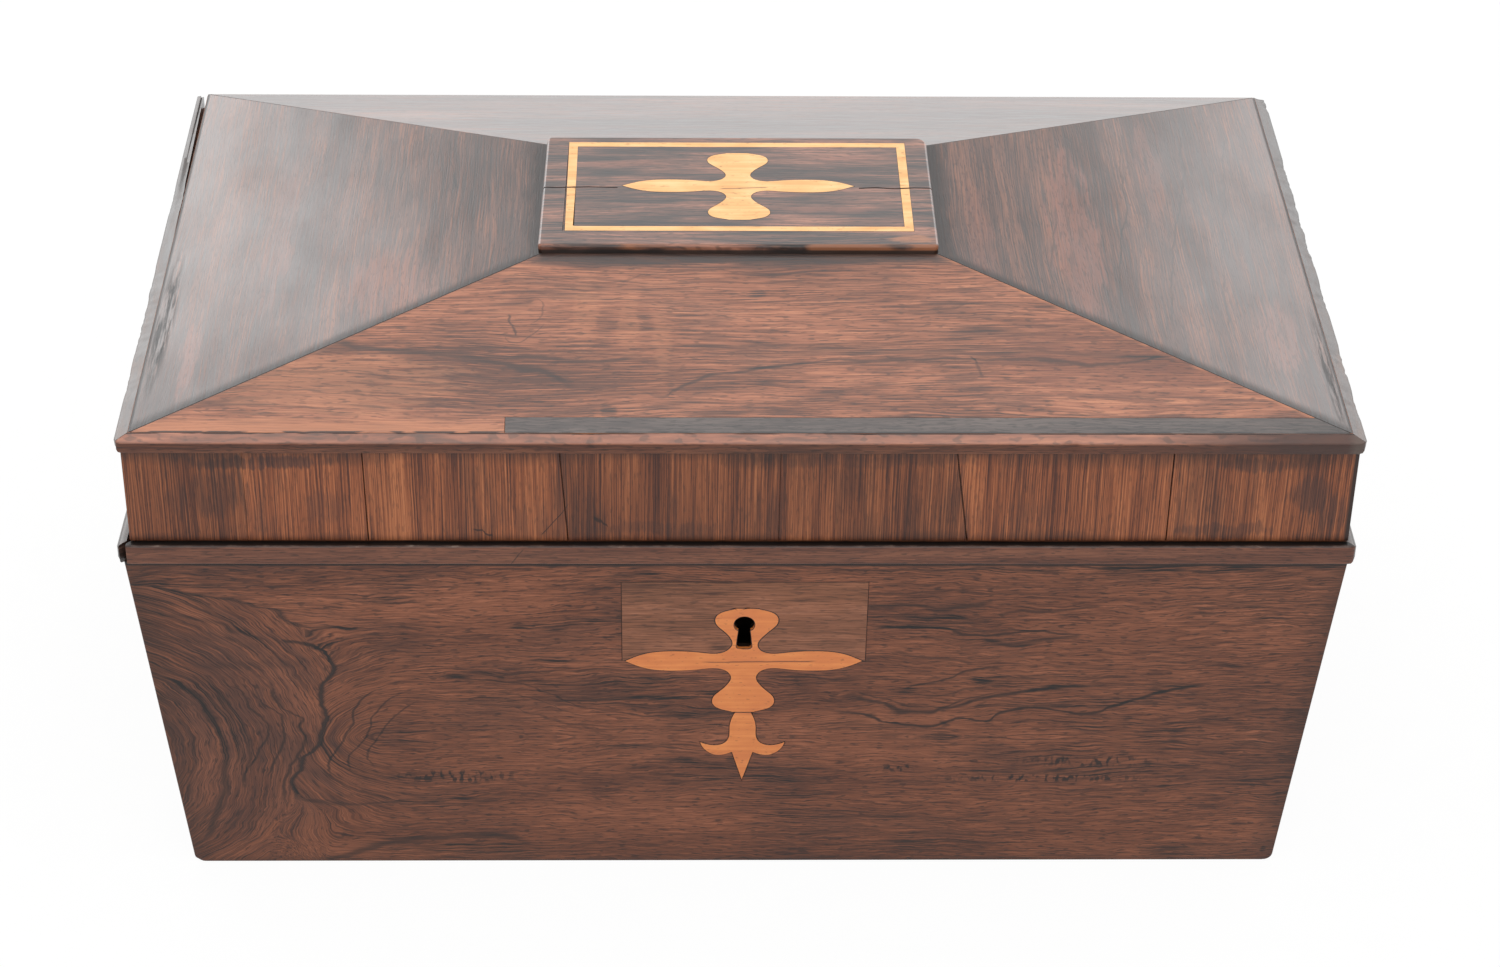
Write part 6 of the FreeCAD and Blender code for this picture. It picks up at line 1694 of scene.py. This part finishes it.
# Round the keyhole the lock plate takes the same painted black shade as the case behind it.
KEYHOLE_SHADE_HALF, KEYHOLE_SHADE_TOP = 9, 100
plate = bpy.data.objects["lock_plate_finished"].data
plate.materials.append(keyhole_shade_brass)
for face in plate.polygons:
    if abs(face.center.x) < KEYHOLE_SHADE_HALF * MM and face.center.z < KEYHOLE_SHADE_TOP * MM:
        face.material_index = 1

# %% Cut glass bowl
BOWL_OUTSIDE = ((0, 18), (26, 18), (28.2, 18.4), (29, 19.6), (29.6, 22), (36, 58), (41.6, 90), (44, 103.4),
                (44.9, 106.4), (44.4, 107.7), (43.4, 108), (42.4, 107.6))
BOWL_INSIDE = ((41.6, 106), (40.6, 101.5), (38, 86), (32.6, 55), (27.6, 29), (25.6, 26), (22, 25.1), (0, 25))
FLUTES, FLUTE_DEPTH, BOWL_STEPS = 20, 0.9, 160
FLUTE_FOOT, FLUTE_TOP = (22, 6), (94, 8)  # a level and the length over which the flutes fade there
bowl_low, bowl_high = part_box("mixing_bowl")
centre_y = (bowl_low.y + bowl_high.y) / 2
profile = []
for first, last in zip(BOWL_OUTSIDE + BOWL_INSIDE, (BOWL_OUTSIDE + BOWL_INSIDE)[1:]):
    parts = max(1, int(math.dist(first, last) / 5))
    profile += [Vector(first).lerp(Vector(last), k / parts) for k in range(parts)]
profile.append(Vector(BOWL_INSIDE[-1]))
shape = bmesh.new()
rings = []
for index, (radius, level) in enumerate(profile):
    foot, top = (level - FLUTE_FOOT[0]) / FLUTE_FOOT[1], (FLUTE_TOP[0] - level) / FLUTE_TOP[1]
    outside = index < len(profile) / 2
    depth = FLUTE_DEPTH * min(max(foot, 0.0), 1.0) * min(max(top, 0.0), 1.0) if outside else 0.0
    ring = []
    for k in range(BOWL_STEPS if radius > 0 else 1):
        angle = 2 * math.pi * k / BOWL_STEPS
        reach = radius - depth * abs(math.cos(FLUTES * angle / 2))
        ring.append(shape.verts.new((reach * math.cos(angle) * MM, reach * math.sin(angle) * MM + centre_y,
                                     level * MM)))
    rings.append(ring)
for ring, after in zip(rings, rings[1:]):
    for k in range(BOWL_STEPS):
        corners = [ring[k % len(ring)], ring[(k + 1) % len(ring)], after[(k + 1) % len(after)],
                   after[k % len(after)]]
        shape.faces.new(list(dict.fromkeys(corners)))
bmesh.ops.recalc_face_normals(shape, faces=shape.faces)
bowl = finish(shape, "mixing_bowl_cut_glass", [glass], 0.0)
stand_for(bowl, "mixing_bowl")
print("bowl with", FLUTES, "flutes")

# %% Plain carcase boards
WIDE_BOARDS = ("base_back_board", "base_bottom_board", "lid_front_board", "lid_back_board", "lid_top_board",
               "lid_lining_panel", "bowl_rest")
DEEP_BOARDS = ("base_left_board", "base_right_board", "lid_left_board", "lid_right_board",
               "compartment_ledges")
for names, wood in ((WIDE_BOARDS, mahogany_wide), (DEEP_BOARDS, mahogany_deep),
                    (("base_front_board",), mahogany_keyhole)):
    for node in names:
        board = frame["nodes"][node]
        board.data.materials.clear()
        board.data.materials.append(wood)
print("carcase boards oiled")
